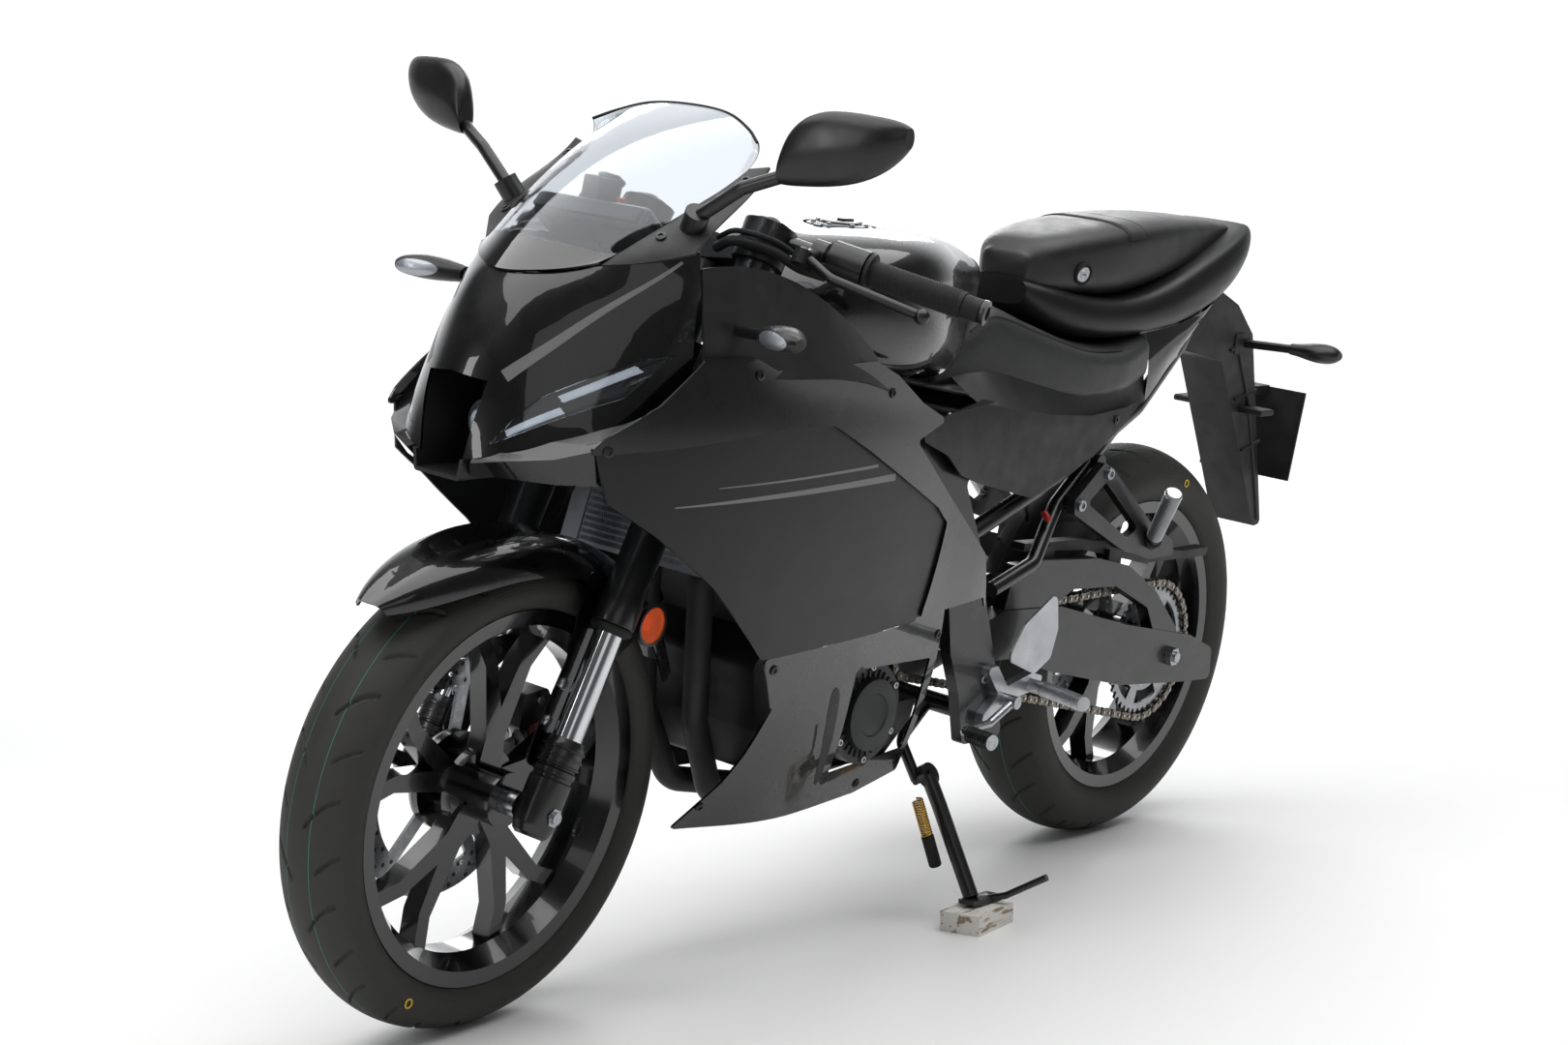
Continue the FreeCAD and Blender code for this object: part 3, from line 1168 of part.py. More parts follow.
def make_nose(shoulder, side):
    """Nose cowl, air intake, the blades under the lamps, lamps and windscreen."""
    rows = [
        [(1481, 0, 706), (1482, 30, 708), (1466, 76, 722), (1424, 116, 738), (1352, 156, 760), (1268, 182, 790)],
        [(1484, 0, 760), (1474, 42, 766), (1448, 84, 772), (1404, 118, 784), (1344, 150, 800), (1266, 178, 826)],
        [(1476, 0, 806), (1462, 46, 806), (1432, 84, 812), (1390, 114, 826), (1336, 144, 846), (1264, 174, 872)],
        [(1448, 0, 862), (1438, 44, 862), (1408, 82, 866), (1370, 110, 878), (1322, 138, 894), (1262, 172, 916)],
        [(1407, 0, 921), (1398, 36, 923), (1376, 68, 928), (1346, 96, 936), (1308, 128, 946), (1262, 168, 962)],
    ]
    shell = panel(both_sides(rows), size("panel_wall"), at(1200, 0, 800))
    mouth = [at(1540, -47, 800), at(1540, 0, 806), at(1540, 47, 800), at(1540, 44, 770),
             at(1540, 32, 690), at(1540, -32, 690), at(1540, -44, 770)]
    opening = Part.Face(Part.makePolygon(mouth + mouth[:1])).extrude(AHEAD * -160)
    eye = [at(1540, 62, 728), at(1540, 92, 748), at(1540, 150, 792), at(1540, 168, 842), at(1540, 150, 836),
           at(1540, 96, 788)]
    slot = Part.Face(Part.makePolygon(eye + eye[:1])).extrude(AHEAD * -300)
    new_piece("nose_cowl", shell.cut(opening).cut(slot).cut(mirrored(slot)))
    rim = Part.makePolygon(eye + eye[:1]).makeOffset2D(-GAP)
    lens = biggest(shell.common(Part.Face(rim).extrude(AHEAD * -300)))
    outline = Part.makePolygon(mouth + mouth[:1])
    duct = Part.Face(outline.makeOffset2D(6)).extrude(AHEAD * -180)
    duct = duct.cut(Part.Face(outline.makeOffset2D(1)).extrude(AHEAD * -160))
    duct = duct.cut(Part.makeBox(80, 200, 200, at(1487, -100, 650)))
    front = shell_between(skin_through(offset_grid(both_sides(rows), 60, at(1200, 0, 800))),
                          skin_through(offset_grid(both_sides(rows), -size("panel_wall") - GAP,
                                                   at(1200, 0, 800))))
    duct = biggest(duct.cut(front))
    eye_lens = rod(at(1375, 0, 742), at(1412, 0, 742), 27)
    new_piece("air_intake", fused(duct, eye_lens))
    blade = [[(1477, 46, 713), (1487, 52, 708), (1472, 40, 690), (1462, 40, 696)],
             [(1464, 76, 724), (1474, 88, 716), (1458, 80, 694), (1448, 70, 702)],
             [(1424, 116, 740), (1438, 134, 724), (1420, 124, 692), (1408, 112, 704)],
             [(1352, 158, 764), (1386, 174, 742), (1378, 162, 694), (1350, 150, 706)],
             [(1300, 176, 784), (1340, 196, 770), (1336, 180, 706), (1310, 170, 716)]]
    sections = [[at(*spot) for spot in row] for row in blade]
    wings = faceted(sections)
    for neighbour in (shell, shoulder, side, duct):
        wings = wings.cut(neighbour)
    wings = wings.cut(moved(shell, UP * -GAP)).cut(moved(shoulder, LEFT * -GAP)).cut(moved(side, LEFT * -GAP))
    wings = wings.cut(moved(duct, LEFT * GAP))
    new_piece("nose_wings", pair(biggest(wings)))
    new_piece("headlamps", pair(lens))
    screen_rows = [
        [(1412, 0, 921), (1403, 36, 924), (1382, 68, 930), (1352, 94, 940)],
        [(1342, 0, 993), (1335, 48, 989), (1316, 84, 980), (1290, 110, 972)],
        [(1265, 0, 1050), (1258, 58, 1044), (1240, 98, 1028), (1220, 124, 1012)],
        [(1186, 0, 1092), (1180, 64, 1086), (1166, 108, 1068), (1150, 132, 1052)],
        [(1107, 0, 1118), (1112, 62, 1114), (1124, 106, 1100), (1138, 134, 1086)],
    ]
    screen = panel(both_sides(screen_rows), size("screen_wall"), at(1100, 0, 800))
    screen = biggest(screen.cut(moved(shell, UP * GAP)))
    new_piece("windscreen", screen)
    return shell, screen


def make_screen_cheeks(shell, screen):
    """The panels that run up beside the screen and carry the mirrors."""
    rows = [
        [(1346, 95, 937), (1312, 128, 944), (1270, 168, 960)],
        [(1287, 111, 974), (1262, 142, 984), (1230, 168, 994)],
        [(1217, 125, 1013), (1200, 148, 1020), (1182, 164, 1024)],
        [(1146, 133, 1055), (1142, 148, 1058), (1140, 158, 1060)],
    ]
    grid = [[at(*spot) for spot in row] for row in rows]
    middle = at(1200, 0, 900)
    cheek = panel(grid, size("panel_wall"), middle).cut(moved(shell, UP * GAP)).cut(moved(shell, LEFT * GAP))
    cheek = biggest(cheek.cut(moved(screen, LEFT * GAP)).cut(moved(screen, UP * -GAP)))
    new_piece("screen_cheeks", pair(cheek))
    return shell_between(skin_through(offset_grid(grid, GAP, middle)),
                         skin_through(offset_grid(grid, -40, middle)))


def make_inner_panels(shoulder):
    """Panels inside the fairing: the covers beside the tank's nose, and the instrument box."""
    top = [[at(1255, 168, 942), at(1150, 176, 940), at(1030, 180, 900), at(920, 182, 830)],
           [at(1255, 187, 832), at(1150, 211, 816), at(1030, 216, 812), at(920, 208, 790)]]
    grid = []
    for step in range(4):
        share = step / 3.0
        grid.append([a * (1 - share) + b * share for a, b in zip(top[0], top[1])])
    left = panel(grid, size("panel_wall"), at(1100, 0, 800))
    left = biggest(left.cut(moved(shoulder, UP * GAP)).cut(moved(shoulder, LEFT * -GAP)))
    new_piece("inner_panels", pair(left))
    dash = Part.makeBox(34, 176, 92, V(-17, -88, -46))
    dash = dash.makeFillet(8, dash.Edges)
    dash.rotate(NOWHERE, LEFT, 52)
    dash.translate(at(1238, 0, 962))
    new_piece("instrument_panel", dash)
    return left, dash


def make_mirrors(below):
    """Mirrors on stalks from the fairing's shoulders."""
    foot = at(1256, 152, 998)
    elbow = at(1248, 210, 1040)
    neck = at(1232, 262, 1062)
    stalk = tube([foot, elbow, neck], 8, 20)
    base = Part.makeCylinder(15, 30, foot - V(6, 10, 16), V(0.3, 0.5, 0.8))
    head = skinned([cross_ring(at(1236, 256, 1064), 12, 13), cross_ring(at(1230, 276, 1088), 19, 38),
                    cross_ring(at(1222, 306, 1096), 22, 43), cross_ring(at(1212, 350, 1102), 21, 38),
                    cross_ring(at(1202, 386, 1112), 15, 24), cross_ring(at(1196, 399, 1118), 8, 12)])
    new_piece("mirrors", pair(biggest(fused(stalk, base, head).cut(below))))


# Footrests, stand and block

def make_footrests():
    """Rider's and passenger's footrests, heel plates and levers."""
    bracket = plate([(556, 372), (530, 374), (500, 340), (440, 352), (410, 344), (420, 326), (480, 320),
                     (520, 290), (556, 284), (552, 306), (520, 330)], size("plate_outer") + GAP, 14, 6)
    peg = tube([at(441, 160, 334), at(450, 200, 336), at(500, 290, 346)], 10, 20)
    footrest = fused(bracket, peg)
    heel = plate([(404, 468), (477, 429), (512, 380), (440, 351), (402, 370), (391, 412)], size("plate_outer") + 14 + 2 * GAP, 3, 12)
    new_piece("rider_footrests", Part.makeCompound([footrest, heel, mirrored(footrest), mirrored(heel)]))
    shift = tube([at(505, 178, 322), at(560, 178, 298), at(640, 190, 302), at(652, 236, 304)], 6, 12)
    shift = fused(shift, rod(at(505, size("plate_outer") + 14 + 2 * GAP, 322), at(505, 186, 322), 9))
    toe = rod(at(646, 206, 303), at(656, 250, 304), 11)
    new_piece("foot_levers", pair(fused(shift, toe)))
    tri = plate([(350, 572), (354, 592), (284, 644), (256, 632), (132, 542), (60, 508), (52, 484), (122, 484),
                 (210, 508)], 129, 14, 6, [[(318, 586), (274, 614), (168, 536), (196, 524)]])
    rest = cone(at(132, 150, 516), at(168, 196, 598), 10, 12)
    new_piece("passenger_footrests", pair(fused(tri, rod(at(118, 138, 508), at(132, 152, 516), 12), rest)))


def leaned(point):
    """Where a point of the upright machine is once the machine leans on its stand."""
    return FreeCAD.Rotation(AHEAD, -size("lean_angle")).multVec(point)


def stand_foot():
    """The middle of the stand's sole, on top of the block."""
    return V(at(612, 0, 0).x, 236, size("block_height") + GAP)


def make_stand(lift):
    """The side stand, drawn as it stands on the block: leg, hinge eye, foot and tang."""
    pivot = leaned(stand_pivot()) + V(0, 0, lift)
    axis = leaned(stand_axis())
    foot = stand_foot()
    leg = tube([pivot, pivot + V(0, 20, -40), foot + V(2, -10, 10)], size("stand_tube_radius"), 20)
    eye = Part.makeCylinder(17, 12, pivot - axis * 6, axis)
    sole = [(-44, 0), (-8, 0), (24, 5), (24, 11), (-44, 9)]
    pad = Part.Face(Part.makePolygon([foot + V(x, -16, z) for x, z in sole + sole[:1]])).extrude(LEFT * 26)
    tang = tube([foot + V(-22, 0, 5), foot + V(-30, 26, 12), foot + V(-44, 84, 44)], 5, 12)
    bore = Part.makeCylinder(size("stand_pin_radius") + GAP, 60, pivot - axis * 30, axis)
    new_piece("side_stand", fused(leg, eye, pad, tang).cut(bore), "floor")


def make_block():
    """The flat wooden block under the stand's foot, lying on the floor."""
    foot = stand_foot()
    block = Part.makeBox(96, 62, size("block_height"), V(-50, -36, 0))
    block.rotate(NOWHERE, UP, 6)
    block.translate(V(foot.x + 8, foot.y + 8, 0))
    new_piece("stand_block", block, "floor")


make_wheels()
make_fork()
make_bars()
make_front_fender()

make_front_brake()
make_brake_hose()
make_engine()
make_exhaust()
make_radiator()
make_swingarm()
make_rear_brake()
make_chain()
tank_shape = make_tank()
cowl_shape = make_tail()
seat_shape = make_seats(tank_shape, cowl_shape)
make_side_covers()
shoulder_shape, side_shape = make_fairing()
nose_shape, screen_shape = make_nose(shoulder_shape, side_shape)
under_mirrors = make_screen_cheeks(nose_shape, screen_shape)
inner_shape, dash_shape = make_inner_panels(shoulder_shape)
make_indicators(inner_shape)
make_mirrors(under_mirrors)
make_frame(tank_shape, seat_shape, shoulder_shape, nose_shape, dash_shape)
make_footrests()
rise = -lowest_tyre()
make_stand(rise)
make_block()
doc.recompute()

# Stance


def place_all(shift):
    """Every sub-part put in its place."""
    frames = placements(shift)
    for item, frame, own in pieces:
        item.Placement = frames[frame] * own
    doc.recompute()


place_all(NOWHERE)
box = FreeCAD.BoundBox()
for item, frame, own in pieces:
    box.add(item.Shape.optimalBoundingBox(True, False))
origin = V(-(box.XMin + box.XMax) / 2, -(box.YMin + box.YMax) / 2, rise)
place_all(origin)

broken = [item.Label for item in doc.Objects if "Invalid" in item.State or "Error" in item.State]
for item, frame, own in pieces:
    if item.Shape.isNull() or not item.Shape.isValid():
        broken.append(item.Label)
if broken:
    raise RuntimeError("these are not sound: " + ", ".join(broken))

os.makedirs("parts", exist_ok=True)
for item, frame, own in pieces:
    item.Shape.exportStep(f"parts/{item.Label}.step")
print("pieces", len(pieces), "origin", origin, "box", box)
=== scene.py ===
"""A black sport bike leaning on its side stand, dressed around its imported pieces.

Lengths of the machine are in millimetres in its own frames: "bike" stands upright with +X to the
front, +Y to the rider's left and the origin on the floor under the rear axle; "fork" lies about the
front axle with +Z up the legs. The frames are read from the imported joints, and every mesh is written
in the row's metres.
"""

import json
import logging
import math
from dataclasses import dataclass, field
from enum import Enum
from typing import Sequence

import bpy
import numpy as np
from mathutils import Matrix, Vector
from mathutils.bvhtree import BVHTree

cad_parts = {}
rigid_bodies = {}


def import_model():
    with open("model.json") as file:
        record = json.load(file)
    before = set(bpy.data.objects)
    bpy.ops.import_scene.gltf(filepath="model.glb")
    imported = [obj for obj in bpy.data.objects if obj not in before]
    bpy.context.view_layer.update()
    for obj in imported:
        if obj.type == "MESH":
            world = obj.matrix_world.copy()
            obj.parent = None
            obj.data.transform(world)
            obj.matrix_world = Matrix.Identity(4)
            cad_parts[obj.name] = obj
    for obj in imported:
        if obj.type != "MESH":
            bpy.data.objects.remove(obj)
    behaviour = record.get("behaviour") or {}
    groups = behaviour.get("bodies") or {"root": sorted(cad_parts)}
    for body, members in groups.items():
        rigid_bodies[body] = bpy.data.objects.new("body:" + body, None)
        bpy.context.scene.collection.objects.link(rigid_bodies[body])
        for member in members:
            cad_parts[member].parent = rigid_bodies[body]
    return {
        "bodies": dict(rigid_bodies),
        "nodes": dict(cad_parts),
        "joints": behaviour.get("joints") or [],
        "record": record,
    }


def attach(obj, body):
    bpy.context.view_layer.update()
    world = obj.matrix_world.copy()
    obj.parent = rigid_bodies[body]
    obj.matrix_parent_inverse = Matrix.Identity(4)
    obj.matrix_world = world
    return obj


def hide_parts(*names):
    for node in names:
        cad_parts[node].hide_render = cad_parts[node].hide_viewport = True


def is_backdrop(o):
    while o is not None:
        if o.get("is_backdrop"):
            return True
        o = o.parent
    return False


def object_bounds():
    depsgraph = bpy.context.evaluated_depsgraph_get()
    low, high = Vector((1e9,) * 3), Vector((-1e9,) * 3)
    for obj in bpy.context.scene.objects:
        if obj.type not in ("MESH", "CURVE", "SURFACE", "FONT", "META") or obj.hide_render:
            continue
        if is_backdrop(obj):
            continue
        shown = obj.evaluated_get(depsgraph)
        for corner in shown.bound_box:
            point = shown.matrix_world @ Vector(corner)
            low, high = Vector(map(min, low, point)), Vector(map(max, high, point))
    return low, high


LOG = logging.getLogger("sport_bike")
MM = 0.001
CAMERA_YAW = 219.11


class Body(Enum):
    """The bodies that pieces ride on."""

    CHASSIS = "chassis"
    STEERING = "steering"
    FRONT_WHEEL = "front_wheel"
    REAR_WHEEL = "rear_wheel"
    STAND = "side_stand"
    CAP = "fuel_cap"


# Frames of the machine


@dataclass(frozen=True)
class Stance:
    """The machine's own frames as 4x4 matrices from local millimetres to the row's metres."""

    bike: np.ndarray
    fork: np.ndarray
    front_wheel: np.ndarray
    rear_wheel: np.ndarray

    @classmethod
    def from_joints(cls, joints: Sequence[dict], rear_radius: float = 314.0) -> "Stance":
        """Works the frames out from the joint axes.

        Args:
            joints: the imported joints, with pos_m and axis.
            rear_radius: height of the rear axle over the floor of the upright machine.

        Returns:
            The frames at rest.
        """
        found = {joint["name"]: joint for joint in joints}
        ahead = np.array([1.0, 0.0, 0.0])
        rear = found["rear_wheel_spin"]
        bike = frame_matrix(ahead, np.array(rear["axis"]), np.array(rear["pos_m"]))
        upright = bike.copy()
        upright[:3, 3] -= bike[:3, 2] * rear_radius
        front = found["front_wheel_spin"]
        steer = np.array(found["steering"]["axis"])
        across = np.array(front["axis"])
        fork = frame_matrix(np.cross(across, steer), across, np.array(front["pos_m"]))
        return cls(bike=upright, fork=fork, front_wheel=fork, rear_wheel=bike)


def frame_matrix(ahead: np.ndarray, left: np.ndarray, origin: np.ndarray) -> np.ndarray:
    """A frame from its X and Y directions and its origin, scaled from millimetres to metres."""
    ahead = ahead / np.linalg.norm(ahead)
    left = left / np.linalg.norm(left)
    up = np.cross(ahead, left)
    made = np.eye(4)
    made[:3, 0] = ahead * MM
    made[:3, 1] = left * MM
    made[:3, 2] = up * MM
    made[:3, 3] = origin
    return made


def moved_to(frame: np.ndarray, points: np.ndarray) -> np.ndarray:
    """Points of a local frame, in the row's metres."""
    return points @ frame[:3, :3].T + frame[:3, 3]


def direction_in(frame: np.ndarray, vector: Sequence[float]) -> np.ndarray:
    """A local direction as a unit direction of the row frame."""
    turned = frame[:3, :3] @ np.asarray(vector, float)
    return turned / np.linalg.norm(turned)


# Shapes as arrays


@dataclass
class Shape:
    """Points and faces gathered in one frame, with a texture coordinate for each point."""

    points: list = field(default_factory=list)
    faces: list = field(default_factory=list)
    uvs: list = field(default_factory=list)
    count: int = 0

    def add(self, points: np.ndarray, faces: Sequence, uvs: np.ndarray | None = None) -> "Shape":
        """Adds points and the faces that index them.

        Args:
            points: an (n, 3) array.
            faces: index arrays or tuples, each face counter-clockwise seen from outside.
            uvs: an (n, 2) array, or None for zeros.

        Returns:
            The shape itself.
        """
        points = np.asarray(points, float).reshape(-1, 3)
        self.points.append(points)
        self.uvs.append(np.zeros((len(points), 2)) if uvs is None else np.asarray(uvs, float))
        self.faces.extend([tuple(int(i) + self.count for i in face) for face in faces])
        self.count += len(points)
        return self

    def join(self, other: "Shape", place: np.ndarray | None = None) -> "Shape":
        """Adds another shape, turned and shifted by a 4x4 matrix."""
        points = np.vstack(other.points)
        if place is not None:
            points = points @ place[:3, :3].T + place[:3, 3]
        return self.add(points, other.faces, np.vstack(other.uvs))

    def emit(self, name: str, frame: np.ndarray, smooth_angle: float = 32.0) -> bpy.types.Object:
        """Writes the shape as one mesh object that sits at the origin.

        Args:
            name: the object's name.
            frame: from the shape's own millimetres to the row's metres.
            smooth_angle: edges sharper than this many degrees stay sharp.

        Returns:
            The new object.
        """
        mesh = bpy.data.meshes.new(name)
        mesh.from_pydata(moved_to(frame, np.vstack(self.points)), [], self.faces)
        flat = np.array([index for face in self.faces for index in face])
        layer = mesh.uv_layers.new(name="own")
        layer.data.foreach_set("uv", np.vstack(self.uvs)[flat].astype(np.float32).ravel())
        mesh.polygons.foreach_set("use_smooth", np.ones(len(mesh.polygons), bool))
        mesh.validate()
        mesh.set_sharp_from_angle(angle=math.radians(smooth_angle))
        made = bpy.data.objects.new(name, mesh)
        bpy.context.scene.collection.objects.link(made)
        return made


def grid_shape(grid: np.ndarray, closed_rows: bool = False, closed_columns: bool = False,
               caps: bool = False, flip: bool = False) -> Shape:
    """A surface through a grid of points.

    Args:
        grid: a (rows, columns, 3) array.
        closed_rows: the last row joins the first.
        closed_columns: the last column joins the first.
        caps: the first and last rows are closed by a face each.
        flip: turns the faces of an open surface over; a closed one always faces outwards.

    Returns:
        The surface, with the share along rows and columns as its texture coordinates.
    """
    rows, columns = grid.shape[:2]
    index = np.arange(rows * columns).reshape(rows, columns)
    down = np.roll(index, -1, 0) if closed_rows else index[1:]
    here = index if closed_rows else index[:-1]
    if closed_columns:
        quads = np.stack([here, np.roll(here, -1, 1), np.roll(down, -1, 1), down], -1)
    else:
        quads = np.stack([here[:, :-1], here[:, 1:], down[:, 1:], down[:, :-1]], -1)
    faces = [tuple(face) for face in quads.reshape(-1, 4)]
    if caps:
        faces += [tuple(index[0][::-1]), tuple(index[-1])]
    if closed_columns and (closed_rows or caps):
        flip = enclosed(grid.reshape(-1, 3), faces) < 0
    if flip:
        faces = [face[::-1] for face in faces]
    share = np.stack(np.meshgrid(np.linspace(0, 1, rows), np.linspace(0, 1, columns), indexing="ij"), -1)
    return Shape().add(grid.reshape(-1, 3), faces, share.reshape(-1, 2))


def enclosed(points: np.ndarray, faces: Sequence[tuple]) -> float:
    """Six times the volume inside closed faces: each fan triangle adds a . (b x c) about the middle."""
    spots = points - points.mean(0)
    total = 0.0
    for size in {len(face) for face in faces}:
        corners = spots[np.array([face for face in faces if len(face) == size])]
        for step in range(1, size - 1):
            total += float(np.sum(corners[:, 0] * np.cross(corners[:, step], corners[:, step + 1])))
    return total


def axes_along(direction: Sequence[float], hint: Sequence[float] = (0.0, 0.0, 1.0)) -> np.ndarray:
    """Three unit axes as columns, the last of them along a direction."""
    ahead = np.asarray(direction, float)
    ahead = ahead / np.linalg.norm(ahead)
    helper = np.asarray(hint, float)
    if abs(ahead @ helper) > 0.95:
        helper = np.array([1.0, 0.0, 0.0])
    side = np.cross(helper, ahead)
    side = side / np.linalg.norm(side)
    return np.stack([side, np.cross(ahead, side), ahead], -1)


def about_z(turn: float) -> np.ndarray:
    """A 3x3 matrix that turns by an angle in radians about +Z."""
    return np.array([[math.cos(turn), -math.sin(turn), 0], [math.sin(turn), math.cos(turn), 0], [0, 0, 1]])


def shifted(x: float, y: float, z: float) -> np.ndarray:
    """A 4x4 matrix that only moves."""
    made = np.eye(4)
    made[:3, 3] = (x, y, z)
    return made


def standing(first: Sequence[float], out: Sequence[float], origin: Sequence[float]) -> np.ndarray:
    """A 4x4 matrix from its +X and +Z, which stand square to each other, and an origin."""
    made = shifted(*origin)
    made[:3, :3] = np.column_stack([first, np.cross(out, first), out])
    return made


def placed(centre: Sequence[float], direction: Sequence[float] = (0.0, 0.0, 1.0),
           spin: float = 0.0) -> np.ndarray:
    """A 4x4 matrix that sets local +Z along a direction at a centre, turned by spin degrees."""
    made = shifted(*centre)
    made[:3, :3] = axes_along(direction) @ about_z(math.radians(spin))
    return made


def turned_shape(profile: Sequence[tuple], segments: int = 32, closed: bool = False) -> Shape:
    """A body turned about +Z from (radius, height) pairs, with the poles closed.

    Each point of the profile goes round the axis: x = r cos a, y = r sin a, z = h.
    """
    rows = np.asarray(profile, float)
    angles = np.linspace(0, 2 * math.pi, segments, endpoint=False)
    grid = np.stack([rows[:, :1] * np.cos(angles), rows[:, :1] * np.sin(angles),
                     np.repeat(rows[:, 1:], segments, 1)], -1)
    return grid_shape(grid, closed_rows=closed, closed_columns=True, caps=not closed)


def swept(path: np.ndarray, radius: float | np.ndarray, sides: int = 12, closed: bool = False) -> Shape:
    """A round bar along a path.

    The section is carried along the path so that it doesn't twist: each step turns the last section's
    side direction into the plane across the new tangent.
    """
    path = np.asarray(path, float)
    if closed:
        tangents = np.roll(path, -1, 0) - np.roll(path, 1, 0)
    else:
        tangents = np.gradient(path, axis=0)
    tangents = tangents / np.linalg.norm(tangents, axis=1)[:, None]
    side = axes_along(tangents[0])[:, 0]
    sections = []
    radii = np.broadcast_to(np.asarray(radius, float), (len(path),))
    angles = np.linspace(0, 2 * math.pi, sides, endpoint=False)
    for spot, tangent, reach in zip(path, tangents, radii):
        side = side - tangent * (side @ tangent)
        side = side / np.linalg.norm(side)
        up = np.cross(tangent, side)
        sections.append(spot + reach * (np.outer(np.cos(angles), side) + np.outer(np.sin(angles), up)))
    return grid_shape(np.array(sections), closed_rows=closed, closed_columns=True, caps=not closed)


def smooth_path(points: Sequence[Sequence[float]], steps: int = 12, closed: bool = False) -> np.ndarray:
    """Points along a curve that passes through every given point.

    Between two points it is the cubic whose tangents are half the way from the point before to the
    point after.
    """
    spots = np.asarray(points, float)
    count = len(spots)
    if closed:
        before, after = np.roll(spots, 1, 0), np.roll(spots, -1, 0)
    else:
        before = np.vstack([2 * spots[0] - spots[1], spots[:-1]])
        after = np.vstack([spots[1:], 2 * spots[-1] - spots[-2]])
    slopes = (after - before) / 2
    share = np.linspace(0, 1, steps, endpoint=False)[:, None]
    parts = []
    for i in range(count if closed else count - 1):
        j = (i + 1) % count
        cubic = ((2 * share ** 3 - 3 * share ** 2 + 1) * spots[i]
                 + (share ** 3 - 2 * share ** 2 + share) * slopes[i]
                 + (3 * share ** 2 - 2 * share ** 3) * spots[j]
                 + (share ** 3 - share ** 2) * slopes[j])
        parts.append(cubic)
    if not closed:
        parts.append(spots[-1:])
    return np.vstack(parts)


def slab(outline: Sequence[Sequence[float]], depth: float, bevel: float = 0.6) -> Shape:
    """A flat plate in the XY plane with a bevelled top edge, from z = 0 to z = depth."""
    rim = np.asarray(outline, float)
    area = np.sum(rim[:, 0] * np.roll(rim[:, 1], -1) - np.roll(rim[:, 0], -1) * rim[:, 1])
    if area < 0:
        rim = rim[::-1]
    inner = inset(rim, bevel)
    rings = [(rim, 0.0), (rim, depth - bevel), (inner, depth)]
    grid = np.array([np.column_stack([ring, np.full(len(ring), height)]) for ring, height in rings])
    return grid_shape(grid, closed_columns=True, caps=True)


def inset(rim: np.ndarray, distance: float) -> np.ndarray:
    """A counter-clockwise outline moved inwards by a distance."""
    ahead = np.roll(rim, -1, 0) - rim
    ahead = ahead / np.maximum(np.linalg.norm(ahead, axis=1)[:, None], 1e-9)
    normal = np.column_stack([-ahead[:, 1], ahead[:, 0]])
    mean = normal + np.roll(normal, 1, 0)
    mean = mean / np.maximum(np.sum(mean * normal, 1)[:, None], 0.3)
    return rim + mean * distance


def ring_outline(radius: float, count: int = 24) -> np.ndarray:
    """The corners of a regular outline."""
    angles = np.linspace(0, 2 * math.pi, count, endpoint=False)
    return np.column_stack([radius * np.cos(angles), radius * np.sin(angles)])


def rounded_box(width: float, depth: float, height: float, corner: float = 2.0, steps: int = 4) -> Shape:
    """A box with rounded upright edges and a bevelled top, its base centred at the origin."""
    outline = []
    for number, (sx, sy) in enumerate(((1, 1), (-1, 1), (-1, -1), (1, -1))):
        for step in range(steps + 1):
            angle = math.radians(90 * number + 90 * step / steps)
            outline.append((sx * (width / 2 - corner) + corner * math.cos(angle),
                            sy * (depth / 2 - corner) + corner * math.sin(angle)))
    return slab(outline, height, min(corner, height / 3) * 0.6)


def bolt_shape(radius: float, height: float, socket: bool = True) -> Shape:
    """A cap screw: a round head with a bevelled edge and a six-sided socket, or a plain dome."""
    if not socket:
        profile = [(0.01, height)] + [(radius * math.sin(a), height * 0.35 + height * 0.65 * math.cos(a))
                                      for a in np.linspace(0.25, math.pi / 2, 5)] + [(radius, 0.0)]
        return turned_shape(profile[::-1], 16)
    head = turned_shape([(radius, 0.0), (radius, height * 0.8), (radius * 0.86, height),
                         (radius * 0.5, height)], 18)
    head.faces = head.faces[:-1]
    rim = np.column_stack([ring_outline(radius * 0.5, 18), np.full(18, height)])
    floor = rim - np.array([0.0, 0.0, height * 0.6])
    return head.join(grid_shape(np.array([rim, floor]), closed_columns=True)).add(
        floor, [tuple(range(18))])


